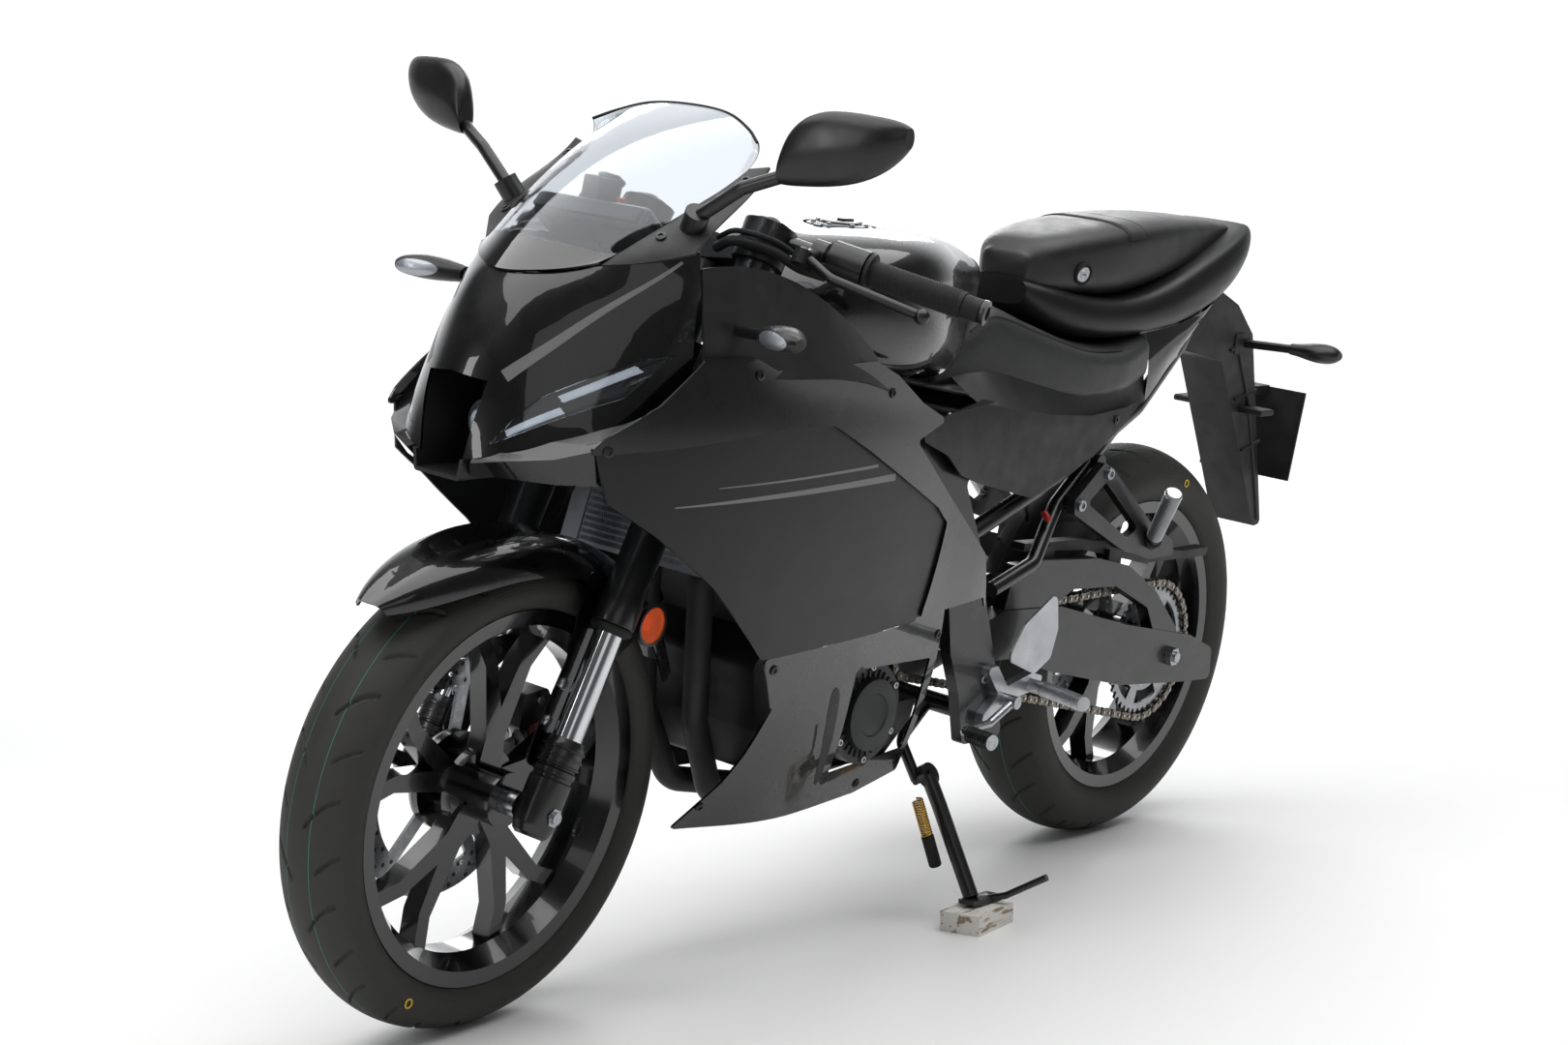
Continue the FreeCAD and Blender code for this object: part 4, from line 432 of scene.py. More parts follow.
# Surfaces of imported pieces


class Skin:
    """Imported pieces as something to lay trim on."""

    def __init__(self, nodes: dict, names: Sequence[str]) -> None:
        """Gathers the triangles of the named pieces in one search tree."""
        points, faces = [], []
        count = 0
        for name in names:
            mesh = nodes[name].data
            mesh.calc_loop_triangles()
            co = np.zeros(len(mesh.vertices) * 3, np.float32)
            mesh.vertices.foreach_get("co", co)
            tri = np.zeros(len(mesh.loop_triangles) * 3, np.int32)
            mesh.loop_triangles.foreach_get("vertices", tri)
            points.append(co.reshape(-1, 3))
            faces.append(tri.reshape(-1, 3) + count)
            count += len(mesh.vertices)
        self.tree = BVHTree.FromPolygons(np.vstack(points).tolist(), np.vstack(faces).tolist())

    def hit(self, start: np.ndarray, along: np.ndarray) -> tuple[np.ndarray, np.ndarray] | None:
        """Where a ray of the row frame first meets the pieces, and the normal there against the ray."""
        spot, normal, _, _ = self.tree.ray_cast(Vector(start), Vector(along))
        if spot is None:
            return None
        outward = np.array(normal)
        if outward @ along > 0:
            outward = -outward
        return np.array(spot), outward

    def laid(self, frame: np.ndarray, points: np.ndarray, along: Sequence[float],
             lift: float | np.ndarray) -> np.ndarray:
        """Points pushed along a local direction until they lie on the pieces, lifted a little.

        Args:
            frame: the frame of the points.
            points: an (n, 3) array in that frame, all outside the pieces.
            along: the local direction in which they are pushed.
            lift: millimetres between the pieces and the points, one value or one for each.

        Returns:
            The points in the same frame; one that meets nothing goes as deep as the nearest one that does.
        """
        heading = direction_in(frame, along)
        back = np.linalg.inv(frame)
        starts = moved_to(frame, np.asarray(points, float))
        found = [self.hit(spot, heading) for spot in starts]
        known = [i for i, hit in enumerate(found) if hit is not None]
        made = []
        for spot, hit, rise in zip(starts, found, np.broadcast_to(lift, (len(starts),)) * MM):
            if hit is not None:
                made.append(hit[0] + hit[1] * rise)
                continue
            near = min(known, key=lambda i: float(np.linalg.norm(starts[i] - spot)), default=None)
            depth = 0.0 if near is None else float((found[near][0] - starts[near]) @ heading) - rise
            made.append(spot + heading * depth)
        return np.asarray(made) @ back[:3, :3].T + back[:3, 3]


# Colours and finishes


def linear(code: str) -> tuple[float, float, float, float]:
    """A hex sRGB colour as linear values."""
    parts = [int(code[i:i + 2], 16) / 255 for i in (1, 3, 5)]
    return tuple(p / 12.92 if p <= 0.04045 else ((p + 0.055) / 1.055) ** 2.4 for p in parts) + (1.0,)


def add_node(tree: bpy.types.NodeTree, kind: str, values: dict | None = None,
             **settings: object) -> bpy.types.Node:
    """Adds a node, sets its own settings and its sockets' constants or links.

    Args:
        tree: the material's node tree.
        kind: the node's type name.
        values: socket name or number to a constant or an output socket.
        **settings: the node's properties.

    Returns:
        The node.
    """
    node = tree.nodes.new(kind)
    for key, value in settings.items():
        setattr(node, key, value)
    for key, value in (values or {}).items():
        socket = node.inputs[key]
        if isinstance(value, bpy.types.NodeSocket):
            tree.links.new(value, socket)
        else:
            socket.default_value = value
    return node


class Relief(Enum):
    """What the fine relief of a surface looks like."""

    NONE = "none"
    GRAIN = "grain"
    PEEL = "peel"
    CAST = "cast"
    BRUSHED = "brushed"
    LEATHER = "leather"


@dataclass(frozen=True)
class Finish:
    """A real material as the eye meets it: colour, gloss, wear and fine relief.

    Sizes are in millimetres of the real surface.
    """

    name: str
    colour: str
    roughness: float
    metallic: float = 0.0
    second: str | None = None
    mottle: float = 30.0
    wear: float = 0.06
    coat: float = 0.0
    relief: Relief = Relief.NONE
    relief_size: float = 1.0
    relief_depth: float = 0.02
    specular: float = 0.5
    glow: float = 0.0

    def build(self) -> bpy.types.Material:
        """Makes the shader: two tones and a roughness that drift over the surface, and its relief."""
        material = bpy.data.materials.new(self.name)
        material.use_nodes = True
        tree = material.node_tree
        tree.nodes.clear()
        place = add_node(tree, "ShaderNodeTexCoord").outputs["Object"]
        cloud = add_node(tree, "ShaderNodeTexNoise",
                         {"Vector": place, "Scale": 1 / (self.mottle * MM), "Detail": 4.0})
        tone = add_node(tree, "ShaderNodeMix", {"Factor": cloud.outputs["Fac"], 6: linear(self.colour),
                                                7: linear(self.second or self.colour)}, data_type="RGBA")
        low = max(0.01, self.roughness - self.wear)
        gloss = add_node(tree, "ShaderNodeMapRange", {"Value": cloud.outputs["Fac"], "From Min": 0.3,
                                                      "From Max": 0.7, "To Min": low,
                                                      "To Max": self.roughness + self.wear})
        values = {"Base Color": tone.outputs[2], "Roughness": gloss.outputs["Result"],
                  "Metallic": self.metallic, "Coat Weight": self.coat, "Coat Roughness": 0.02,
                  "Specular IOR Level": self.specular}
        if self.glow:
            values["Emission Color"] = linear(self.colour)
            values["Emission Strength"] = self.glow
        if self.relief is not Relief.NONE:
            values["Normal"] = self.normal(tree, place)
        shader = add_node(tree, "ShaderNodeBsdfPrincipled", values)
        add_node(tree, "ShaderNodeOutputMaterial", {"Surface": shader.outputs[0]})
        return material

    def normal(self, tree: bpy.types.NodeTree, place: bpy.types.NodeSocket) -> bpy.types.NodeSocket:
        """The relief as a bumped normal."""
        scale = 1 / (self.relief_size * MM)
        if self.relief is Relief.LEATHER:
            cells = add_node(tree, "ShaderNodeTexVoronoi", {"Vector": place, "Scale": scale},
                             feature="DISTANCE_TO_EDGE")
            height = add_node(tree, "ShaderNodeMapRange", {"Value": cells.outputs["Distance"],
                                                           "From Max": 0.25}).outputs["Result"]
        elif self.relief is Relief.BRUSHED:
            stretched = add_node(tree, "ShaderNodeMapping", {"Vector": place, "Scale": (1.0, 14.0, 14.0)})
            height = add_node(tree, "ShaderNodeTexNoise", {"Vector": stretched.outputs[0], "Scale": scale / 6,
                                                           "Detail": 3.0}).outputs["Fac"]
        else:
            detail = {Relief.GRAIN: 2.0, Relief.PEEL: 0.0, Relief.CAST: 6.0}[self.relief]
            height = add_node(tree, "ShaderNodeTexNoise", {"Vector": place, "Scale": scale,
                                                           "Detail": detail}).outputs["Fac"]
        bump = add_node(tree, "ShaderNodeBump", {"Height": height, "Strength": 1.0,
                                                 "Distance": self.relief_depth * MM})
        return bump.outputs["Normal"]


class Paint(Enum):
    """Every plain finish of the machine."""

    # Clear-coated black with a fine orange peel: the room is mirrored in it, a little softened.
    GLOSS_BLACK = Finish("gloss_black_paint", "#030304", 0.30, second="#050506", coat=1.0, specular=0.2,
                         relief=Relief.PEEL, relief_size=9.0, relief_depth=0.006)
    # Satin dark grey panels: a broad soft sheen and no mirror image.
    SATIN_GREY = Finish("satin_grey_paint", "#111211", 0.38, second="#161716", wear=0.04, specular=0.38,
                        relief=Relief.GRAIN, relief_size=0.7, relief_depth=0.006)
    # Grained moulded plastic: dull, with a fine tooth that greys it at a slant.
    MOULDED = Finish("moulded_black_plastic", "#121213", 0.52, second="#18181A", wear=0.08,
                     relief=Relief.GRAIN, relief_size=0.55, relief_depth=0.03)
    # Smooth black plastic: half gloss, as on mirrors and switch boxes.
    SMOOTH_PLASTIC = Finish("smooth_black_plastic", "#0E0E0F", 0.34, second="#141416", wear=0.06,
                            relief=Relief.PEEL, relief_size=4.0, relief_depth=0.01)
    # Powder coat on steel and alloy: satin, with a slight pebbling.
    POWDER_BLACK = Finish("black_powder_coat", "#0B0B0C", 0.32, second="#101012", coat=0.25,
                          relief=Relief.CAST, relief_size=2.2, relief_depth=0.02)
    # Rough-cast alloy painted dark: the light breaks up on its pebbled skin.
    CAST_DARK = Finish("dark_cast_alloy", "#19191A", 0.46, second="#222224", metallic=0.25, wear=0.1,
                       relief=Relief.CAST, relief_size=1.4, relief_depth=0.09)
    # Cover castings: a shade lighter and smoother.
    COVER_GREY = Finish("grey_engine_paint", "#232425", 0.42, second="#2B2C2D", metallic=0.3,
                        relief=Relief.CAST, relief_size=1.0, relief_depth=0.03)
    # Gloss black wheels: enamel over a casting that is a little uneven.
    WHEEL_BLACK = Finish("wheel_enamel", "#060607", 0.18, second="#09090A", coat=0.7,
                         relief=Relief.CAST, relief_size=6.0, relief_depth=0.02)
    # Heat-proof black on the headers: flat and slightly brown where it gets hot.
    HEADER = Finish("heat_proof_black", "#2A292B", 0.62, second="#343032", metallic=0.2, wear=0.12,
                    mottle=60.0, relief=Relief.CAST, relief_size=0.9, relief_depth=0.03)
    # Hard chrome: a clean mirror drawn along the tube.
    CHROME = Finish("hard_chrome", "#D9DBDE", 0.08, metallic=1.0, second="#C9CBCF", wear=0.03,
                    relief=Relief.BRUSHED, relief_size=2.0, relief_depth=0.003)
    # Zinc-plated fasteners: bright, with a soft bloom.
    ZINC = Finish("zinc_plate", "#B9BBBE", 0.28, metallic=1.0, second="#8F9296", mottle=6.0, wear=0.1,
                  relief=Relief.GRAIN, relief_size=0.5, relief_depth=0.01)
    # Ground steel discs and sprocket: fine turning marks.
    GROUND_STEEL = Finish("ground_steel", "#A4A6A9", 0.30, metallic=1.0, second="#8C8E91", mottle=12.0,
                          wear=0.08, relief=Relief.BRUSHED, relief_size=1.2, relief_depth=0.02)
    # Bright cast alloy: tumbled and clear-lacquered.
    BRIGHT_ALLOY = Finish("bright_cast_alloy", "#BFC1C4", 0.34, metallic=0.95, second="#A6A8AB",
                          wear=0.08, relief=Relief.CAST, relief_size=1.1, relief_depth=0.05)
    # Radiator alloy: bare, rolled thin.
    FIN_ALLOY = Finish("bare_fin_alloy", "#C4C8CE", 0.38, metallic=0.9, second="#A9ADB3", mottle=8.0,
                       relief=Relief.GRAIN, relief_size=0.8, relief_depth=0.02)
    # Oiled chain steel: brownish in the shade, bright on the plates.
    CHAIN_STEEL = Finish("oiled_chain_steel", "#8D8578", 0.34, metallic=1.0, second="#5F5A52", mottle=9.0,
                         wear=0.12, relief=Relief.GRAIN, relief_size=0.6, relief_depth=0.02)
    # Brass-coloured plating on springs and valves.
    BRASS = Finish("passivated_brass", "#C9A24C", 0.26, metallic=1.0, second="#A57E33", mottle=5.0,
                   relief=Relief.GRAIN, relief_size=0.4, relief_depth=0.01)
    # Soft rubber of grips, hoses and pads: dull, with a dusting that lifts its tone.
    RUBBER = Finish("soft_rubber", "#101011", 0.66, second="#191918", wear=0.1, specular=0.35,
                    relief=Relief.GRAIN, relief_size=0.8, relief_depth=0.04)
    # Grained seat vinyl: small pebbles with worn tops.
    VINYL = Finish("grained_seat_vinyl", "#1B1C1C", 0.42, second="#242525", wear=0.08, coat=0.12,
                   relief=Relief.LEATHER, relief_size=1.5, relief_depth=0.16)
    # Plain seat vinyl of the passenger pad, smoother than the rider's.
    VINYL_PLAIN = Finish("plain_seat_vinyl", "#141415", 0.40, second="#1B1B1D", wear=0.06,
                         relief=Relief.LEATHER, relief_size=0.8, relief_depth=0.05)
    # Silver-grey stripe film: flat metallic with a fine sparkle.
    STRIPE = Finish("silver_grey_film", "#6E6F6E", 0.40, metallic=0.35, second="#787978", mottle=2.0,
                    relief=Relief.GRAIN, relief_size=0.3, relief_depth=0.004)
    # Caliper paint: dark red enamel.
    CALIPER_RED = Finish("dark_red_enamel", "#8E2A1C", 0.36, second="#7A2014", coat=0.4,
                         relief=Relief.CAST, relief_size=1.5, relief_depth=0.03)
    # Small red plastic tabs and caps.
    RED_PLASTIC = Finish("red_plastic", "#A81B14", 0.34, second="#8E130F", relief=Relief.PEEL,
                         relief_size=2.0, relief_depth=0.01)
    # Milky light guide of a lamp: soft white inside; its faint glow is painted light that stands in for the
    # room's light caught in it.
    LIGHT_GUIDE = Finish("milky_light_guide", "#D7DADF", 0.22, second="#C2C6CD", coat=0.6,
                        relief=Relief.BRUSHED, relief_size=1.5, relief_depth=0.05, glow=0.12)
    # Painted marks on the tyres: flat yellow.
    MARK_YELLOW = Finish("yellow_marking_paint", "#D9B414", 0.55, second="#C9A310", mottle=3.0,
                         relief=Relief.GRAIN, relief_size=0.5, relief_depth=0.02)
    # Plate: white sheet, faintly uneven, with nothing on it.
    PLATE_WHITE = Finish("plain_plate_sheet", "#DADAD6", 0.42, second="#E2E2DE", coat=0.3,
                         relief=Relief.PEEL, relief_size=12.0, relief_depth=0.03)

    def material(self) -> bpy.types.Material:
        """The built material, made once."""
        found = bpy.data.materials.get(self.value.name)
        return found or self.value.build()


# Finishes with a picture of their own


def output(tree: bpy.types.NodeTree, shader: bpy.types.Node) -> None:
    """Ends a material's tree."""
    add_node(tree, "ShaderNodeOutputMaterial", {"Surface": shader.outputs[0]})


def fresh(name: str) -> tuple[bpy.types.Material, bpy.types.NodeTree]:
    """An empty material and its tree."""
    material = bpy.data.materials.new(name)
    material.use_nodes = True
    material.node_tree.nodes.clear()
    return material, material.node_tree


@dataclass(frozen=True)
class ClearPlastic:
    """Clear or tinted plastic: sharp mirrored lights over a see-through body, with moulded ribs."""

    name: str
    colour: str
    roughness: float = 0.03
    rib_size: float = 0.0
    rib_depth: float = 0.0
    # glow is an emission strength; on the amber reflectors it is painted light
    glow: float = 0.0

    def build(self) -> bpy.types.Material:
        """Makes the shader; light that casts shadows passes through it."""
        found = bpy.data.materials.get(self.name)
        if found:
            return found
        material, tree = fresh(self.name)
        place = add_node(tree, "ShaderNodeTexCoord").outputs["Object"]
        haze = add_node(tree, "ShaderNodeTexNoise", {"Vector": place, "Scale": 60.0, "Detail": 3.0})
        rough = add_node(tree, "ShaderNodeMapRange", {"Value": haze.outputs["Fac"], "To Min": self.roughness,
                                                      "To Max": self.roughness + 0.04})
        values = {"Base Color": linear(self.colour), "Roughness": rough.outputs["Result"], "IOR": 1.49,
                  "Transmission Weight": 1.0}
        if self.glow:
            values["Emission Color"] = linear(self.colour)
            values["Emission Strength"] = self.glow
        if self.rib_size:
            cells = add_node(tree, "ShaderNodeTexVoronoi",
                             {"Vector": place, "Scale": 1 / (self.rib_size * MM)},
                             feature="F1")
            bump = add_node(tree, "ShaderNodeBump", {"Height": cells.outputs["Distance"], "Strength": 1.0,
                                                     "Distance": self.rib_depth * MM})
            values["Normal"] = bump.outputs["Normal"]
        body = add_node(tree, "ShaderNodeBsdfPrincipled", values)
        passing = add_node(tree, "ShaderNodeBsdfTransparent", {"Color": linear(self.colour)})
        path = add_node(tree, "ShaderNodeLightPath")
        mixed = add_node(tree, "ShaderNodeMixShader", {0: path.outputs["Is Shadow Ray"],
                                                       1: body.outputs[0], 2: passing.outputs[0]})
        output(tree, mixed)
        return material


CLEAR = ClearPlastic("clear_lamp_plastic", "#EEF2F6")
# The amber reflectors' glow is painted light: an emission on a reflector, which gives off no light of its
# own.
AMBER = ClearPlastic("amber_reflector_plastic", "#F0660C", 0.10, 2.2, 0.8, 0.16)
RED_LENS = ClearPlastic("red_lamp_plastic", "#9C0A0A", 0.08, 3.0, 0.6, 0.05)


def screen_material(stance: Stance, band_height: float = 962.0) -> bpy.types.Material:
    """Clear acrylic whose foot is painted black from inside, with a soft edge to the band.

    The eye looks through a faintly smoked sheet that mirrors the lamps, down to a dark band.
    """
    material, tree = fresh("screen_acrylic")
    place = add_node(tree, "ShaderNodeTexCoord").outputs["Object"]
    up = direction_in(stance.bike, (-0.25, 0.0, 0.97))
    foot = moved_to(stance.bike, np.array([[1390.0, 0.0, band_height]]))[0]
    height = add_node(tree, "ShaderNodeVectorMath", {0: place, 1: tuple(up)}, operation="DOT_PRODUCT")
    band = add_node(tree, "ShaderNodeMapRange", {"Value": height.outputs["Value"],
                                                 "From Min": float(up @ foot) - 0.002,
                                                 "From Max": float(up @ foot) + 0.002})
    haze = add_node(tree, "ShaderNodeTexNoise", {"Vector": place, "Scale": 25.0, "Detail": 3.0})
    rough = add_node(tree, "ShaderNodeMapRange",
                     {"Value": haze.outputs["Fac"], "To Min": 0.01, "To Max": 0.05})
    clear = add_node(tree, "ShaderNodeBsdfPrincipled", {"Base Color": linear("#DDE3E8"), "IOR": 1.49,
                                                        "Roughness": rough.outputs["Result"],
                                                        "Transmission Weight": 1.0})
    dark = add_node(tree, "ShaderNodeBsdfPrincipled", {"Base Color": linear("#0A0A0B"), "Coat Weight": 1.0,
                                                       "Roughness": rough.outputs["Result"]})
    passing = add_node(tree, "ShaderNodeBsdfTransparent", {"Color": linear("#E4E8EC")})
    path = add_node(tree, "ShaderNodeLightPath")
    sheet = add_node(tree, "ShaderNodeMixShader", {0: path.outputs["Is Shadow Ray"], 1: clear.outputs[0],
                                                   2: passing.outputs[0]})
    output(tree, add_node(tree, "ShaderNodeMixShader", {0: band.outputs["Result"], 1: dark.outputs[0],
                                                        2: sheet.outputs[0]}))
    return material


def tyre_material() -> bpy.types.Material:
    """Tyre rubber: dusty black, ringed along its walls, with a thin teal line on each shoulder.

    The texture's second coordinate runs from wall to wall, so the line and the rings follow the tyre.
    """
    material, tree = fresh("tyre_rubber")
    coordinate = add_node(tree, "ShaderNodeTexCoord")
    across = add_node(tree, "ShaderNodeSeparateXYZ", {0: coordinate.outputs["UV"]}).outputs["Y"]
    away = add_node(tree, "ShaderNodeMath", {0: across, 1: 0.5}, operation="SUBTRACT")
    side = add_node(tree, "ShaderNodeMath", {0: away.outputs[0]}, operation="ABSOLUTE").outputs[0]
    line = add_node(tree, "ShaderNodeMath", {0: side, 1: 0.118, 2: 0.0022}, operation="COMPARE")
    dust = add_node(tree, "ShaderNodeTexNoise", {"Vector": coordinate.outputs["Object"], "Scale": 35.0,
                                                 "Detail": 6.0})
    rubber = add_node(tree, "ShaderNodeMix", {"Factor": dust.outputs["Fac"], 6: linear("#1E1E1E"),
                                              7: linear("#34332F")}, data_type="RGBA")
    colour = add_node(tree, "ShaderNodeMix", {"Factor": line.outputs[0], 6: rubber.outputs[2],
                                              7: linear("#2F7F73")}, data_type="RGBA")
    rings = add_node(tree, "ShaderNodeMath", {0: side, 1: 620.0}, operation="MULTIPLY")
    wave = add_node(tree, "ShaderNodeMath", {0: rings.outputs[0]}, operation="SINE")
    wall = add_node(tree, "ShaderNodeMath", {0: side, 1: 0.36}, operation="GREATER_THAN")
    ringed = add_node(tree, "ShaderNodeMath", {0: wave.outputs[0], 1: wall.outputs[0]}, operation="MULTIPLY")
    fine = add_node(tree, "ShaderNodeTexNoise", {"Vector": coordinate.outputs["Object"], "Scale": 900.0})
    height = add_node(tree, "ShaderNodeMath", {0: ringed.outputs[0], 1: 0.4, 2: fine.outputs["Fac"]},
                      operation="MULTIPLY_ADD")
    bump = add_node(tree, "ShaderNodeBump", {"Height": height.outputs[0], "Strength": 1.0,
                                             "Distance": 0.00022})
    rough = add_node(tree, "ShaderNodeMapRange",
                     {"Value": dust.outputs["Fac"], "To Min": 0.5, "To Max": 0.78})
    output(tree, add_node(tree, "ShaderNodeBsdfPrincipled", {
        "Base Color": colour.outputs[2], "Roughness": rough.outputs["Result"],
        "Normal": bump.outputs["Normal"], "Specular IOR Level": 0.4}))
    return material


def block_material() -> bpy.types.Material:
    """Worn white paint on wood: off-white with bare streaks and reddish specks."""
    material, tree = fresh("worn_painted_wood")
    place = add_node(tree, "ShaderNodeTexCoord").outputs["Object"]
    long = add_node(tree, "ShaderNodeMapping", {"Vector": place, "Scale": (14.0, 90.0, 90.0)})
    streaks = add_node(tree, "ShaderNodeTexNoise", {"Vector": long.outputs[0], "Scale": 1.0, "Detail": 8.0})
    bare = add_node(tree, "ShaderNodeMapRange", {"Value": streaks.outputs["Fac"], "From Min": 0.54,
                                                 "From Max": 0.62})
    specks = add_node(tree, "ShaderNodeTexVoronoi", {"Vector": place, "Scale": 95.0})
    dots = add_node(tree, "ShaderNodeMath", {0: specks.outputs["Distance"], 1: 0.13}, operation="LESS_THAN")
    paint = add_node(tree, "ShaderNodeMix", {"Factor": bare.outputs["Result"], 6: linear("#D9D6CF"),
                                             7: linear("#8D7A63")}, data_type="RGBA")
    colour = add_node(tree, "ShaderNodeMix", {"Factor": dots.outputs[0], 6: paint.outputs[2],
                                              7: linear("#9A4436")}, data_type="RGBA")
    bump = add_node(tree, "ShaderNodeBump", {"Height": streaks.outputs["Fac"], "Strength": 0.8,
                                             "Distance": 0.0006})
    output(tree, add_node(tree, "ShaderNodeBsdfPrincipled", {
        "Base Color": colour.outputs[2], "Roughness": 0.7, "Normal": bump.outputs["Normal"]}))
    return material


def glass_material(name: str, colour: str, metallic: float) -> bpy.types.Material:
    """A mirror's or display's pane: a clean reflection with the faintest drift in gloss."""
    found = bpy.data.materials.get(name)
    if found:
        return found
    material, tree = fresh(name)
    place = add_node(tree, "ShaderNodeTexCoord").outputs["Object"]
    haze = add_node(tree, "ShaderNodeTexNoise", {"Vector": place, "Scale": 18.0})
    rough = add_node(tree, "ShaderNodeMapRange",
                     {"Value": haze.outputs["Fac"], "To Min": 0.01, "To Max": 0.06})
    output(tree, add_node(tree, "ShaderNodeBsdfPrincipled", {
        "Base Color": linear(colour), "Roughness": rough.outputs["Result"], "Metallic": metallic,
        "Coat Weight": 1.0}))
    return material


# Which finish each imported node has

NODE_PAINT = {
    Paint.GLOSS_BLACK: ("nose_cowl", "shoulder_panels", "belly_panels", "front_fender", "fuel_tank",
                        "nose_wings"),
    Paint.SATIN_GREY: ("side_panels", "tail_cowl"),
    Paint.MOULDED: ("side_covers", "inner_panels", "rear_fender", "chain_guard", "screen_cheeks",
                    "air_intake", "plate_holder"),
    Paint.SMOOTH_PLASTIC: ("mirrors", "bar_controls", "instrument_panel", "indicators"),
    Paint.POWDER_BLACK: ("frame", "rear_subframe", "swingarm", "fork_outer_tubes", "fork_feet",
                         "handlebars", "passenger_footrests", "side_stand", "rear_shock",
                         "front_caliper", "rear_caliper"),
    Paint.CAST_DARK: ("engine", "triple_clamps"),
    Paint.COVER_GREY: ("engine_covers",),
    Paint.WHEEL_BLACK: ("front_rim", "rear_rim"),
    Paint.HEADER: ("exhaust",),
    Paint.CHROME: ("fork_inner_tubes",),
    Paint.ZINC: ("front_axle", "rear_axle", "foot_levers"),
    Paint.GROUND_STEEL: ("front_disc", "rear_disc", "rear_sprocket"),
    Paint.BRIGHT_ALLOY: ("rider_footrests", "fuel_cap"),
    Paint.FIN_ALLOY: ("radiator",),
    Paint.RUBBER: ("grips", "brake_hose"),
    Paint.VINYL: ("rider_seat",),
    Paint.VINYL_PLAIN: ("passenger_seat",),
    Paint.CHAIN_STEEL: ("chain",),
}


def finish_nodes(nodes: dict, stance: Stance) -> None:
    """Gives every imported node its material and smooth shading; its mesh stays as it is."""
    chosen = {name: paint.material() for paint, names in NODE_PAINT.items() for name in names}
    chosen["windscreen"] = screen_material(stance)
    chosen["headlamps"] = CLEAR.build()
    chosen["front_reflectors"] = AMBER.build()
    chosen["tail_lamp"] = RED_LENS.build()
    chosen["stand_block"] = block_material()
    rubber = tyre_material()
    for name, node in nodes.items():
        node.data.materials.clear()
        node.data.materials.append(chosen.get(name, rubber if "tyre" in name else Paint.MOULDED.material()))
        node.data.polygons.foreach_set("use_smooth", np.ones(len(node.data.polygons), bool))
        weld = node.modifiers.new("weld", "WELD")
        weld.merge_threshold = 0.00001
        split = node.modifiers.new("split", "EDGE_SPLIT")
        split.split_angle = math.radians(28)


def finished(piece: bpy.types.Object, material: bpy.types.Material, body: Body) -> bpy.types.Object:
    """Paints a piece and sets it on its body."""
    piece.data.materials.clear()
    piece.data.materials.append(material)
    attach(piece, body.value)
    return piece


# Sub-assemblies

Spot = tuple[float, float, float]
Line = tuple[Spot, ...]


@dataclass
class SubAssembly:
    """A part of the machine: it has sizes, builds its pieces in its own frames and dresses them."""

    stance: Stance
    nodes: dict

    def put(self, shape: Shape, name: str, frame: np.ndarray, finish: "Paint | bpy.types.Material",
            body: Body = Body.CHASSIS, replaces: Sequence[str] = (),
            smooth: float = 32.0) -> bpy.types.Object:
        """Emits a shape as a finished piece.

        Args:
            shape: the geometry in the frame's millimetres.
            name: the piece's name.
            frame: the local frame.
            finish: a paint, or a material of its own.
            body: what the piece rides on, for most pieces the chassis.
            replaces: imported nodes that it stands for.
            smooth: edges sharper than this many degrees stay sharp.

        Returns:
            The piece.
        """
        material = finish.material() if isinstance(finish, Paint) else finish
        piece = finished(shape.emit(name, frame, smooth), material, body)
        if replaces:
            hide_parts(*replaces)
        LOG.info("%s: %d faces", name, len(piece.data.polygons))
        return piece

    def build(self) -> None:
        """Makes every piece."""
        raise NotImplementedError


@dataclass(frozen=True)
class TyreSize:
    """Millimetres of a tyre on its rim."""

    radius: float
    half: float
    bead: float
    flange: float = 232.3
    seat: float = 219.3
    groove_depth: float = 3.2
    groove_half: float = 2.6
    repeats: int = 14


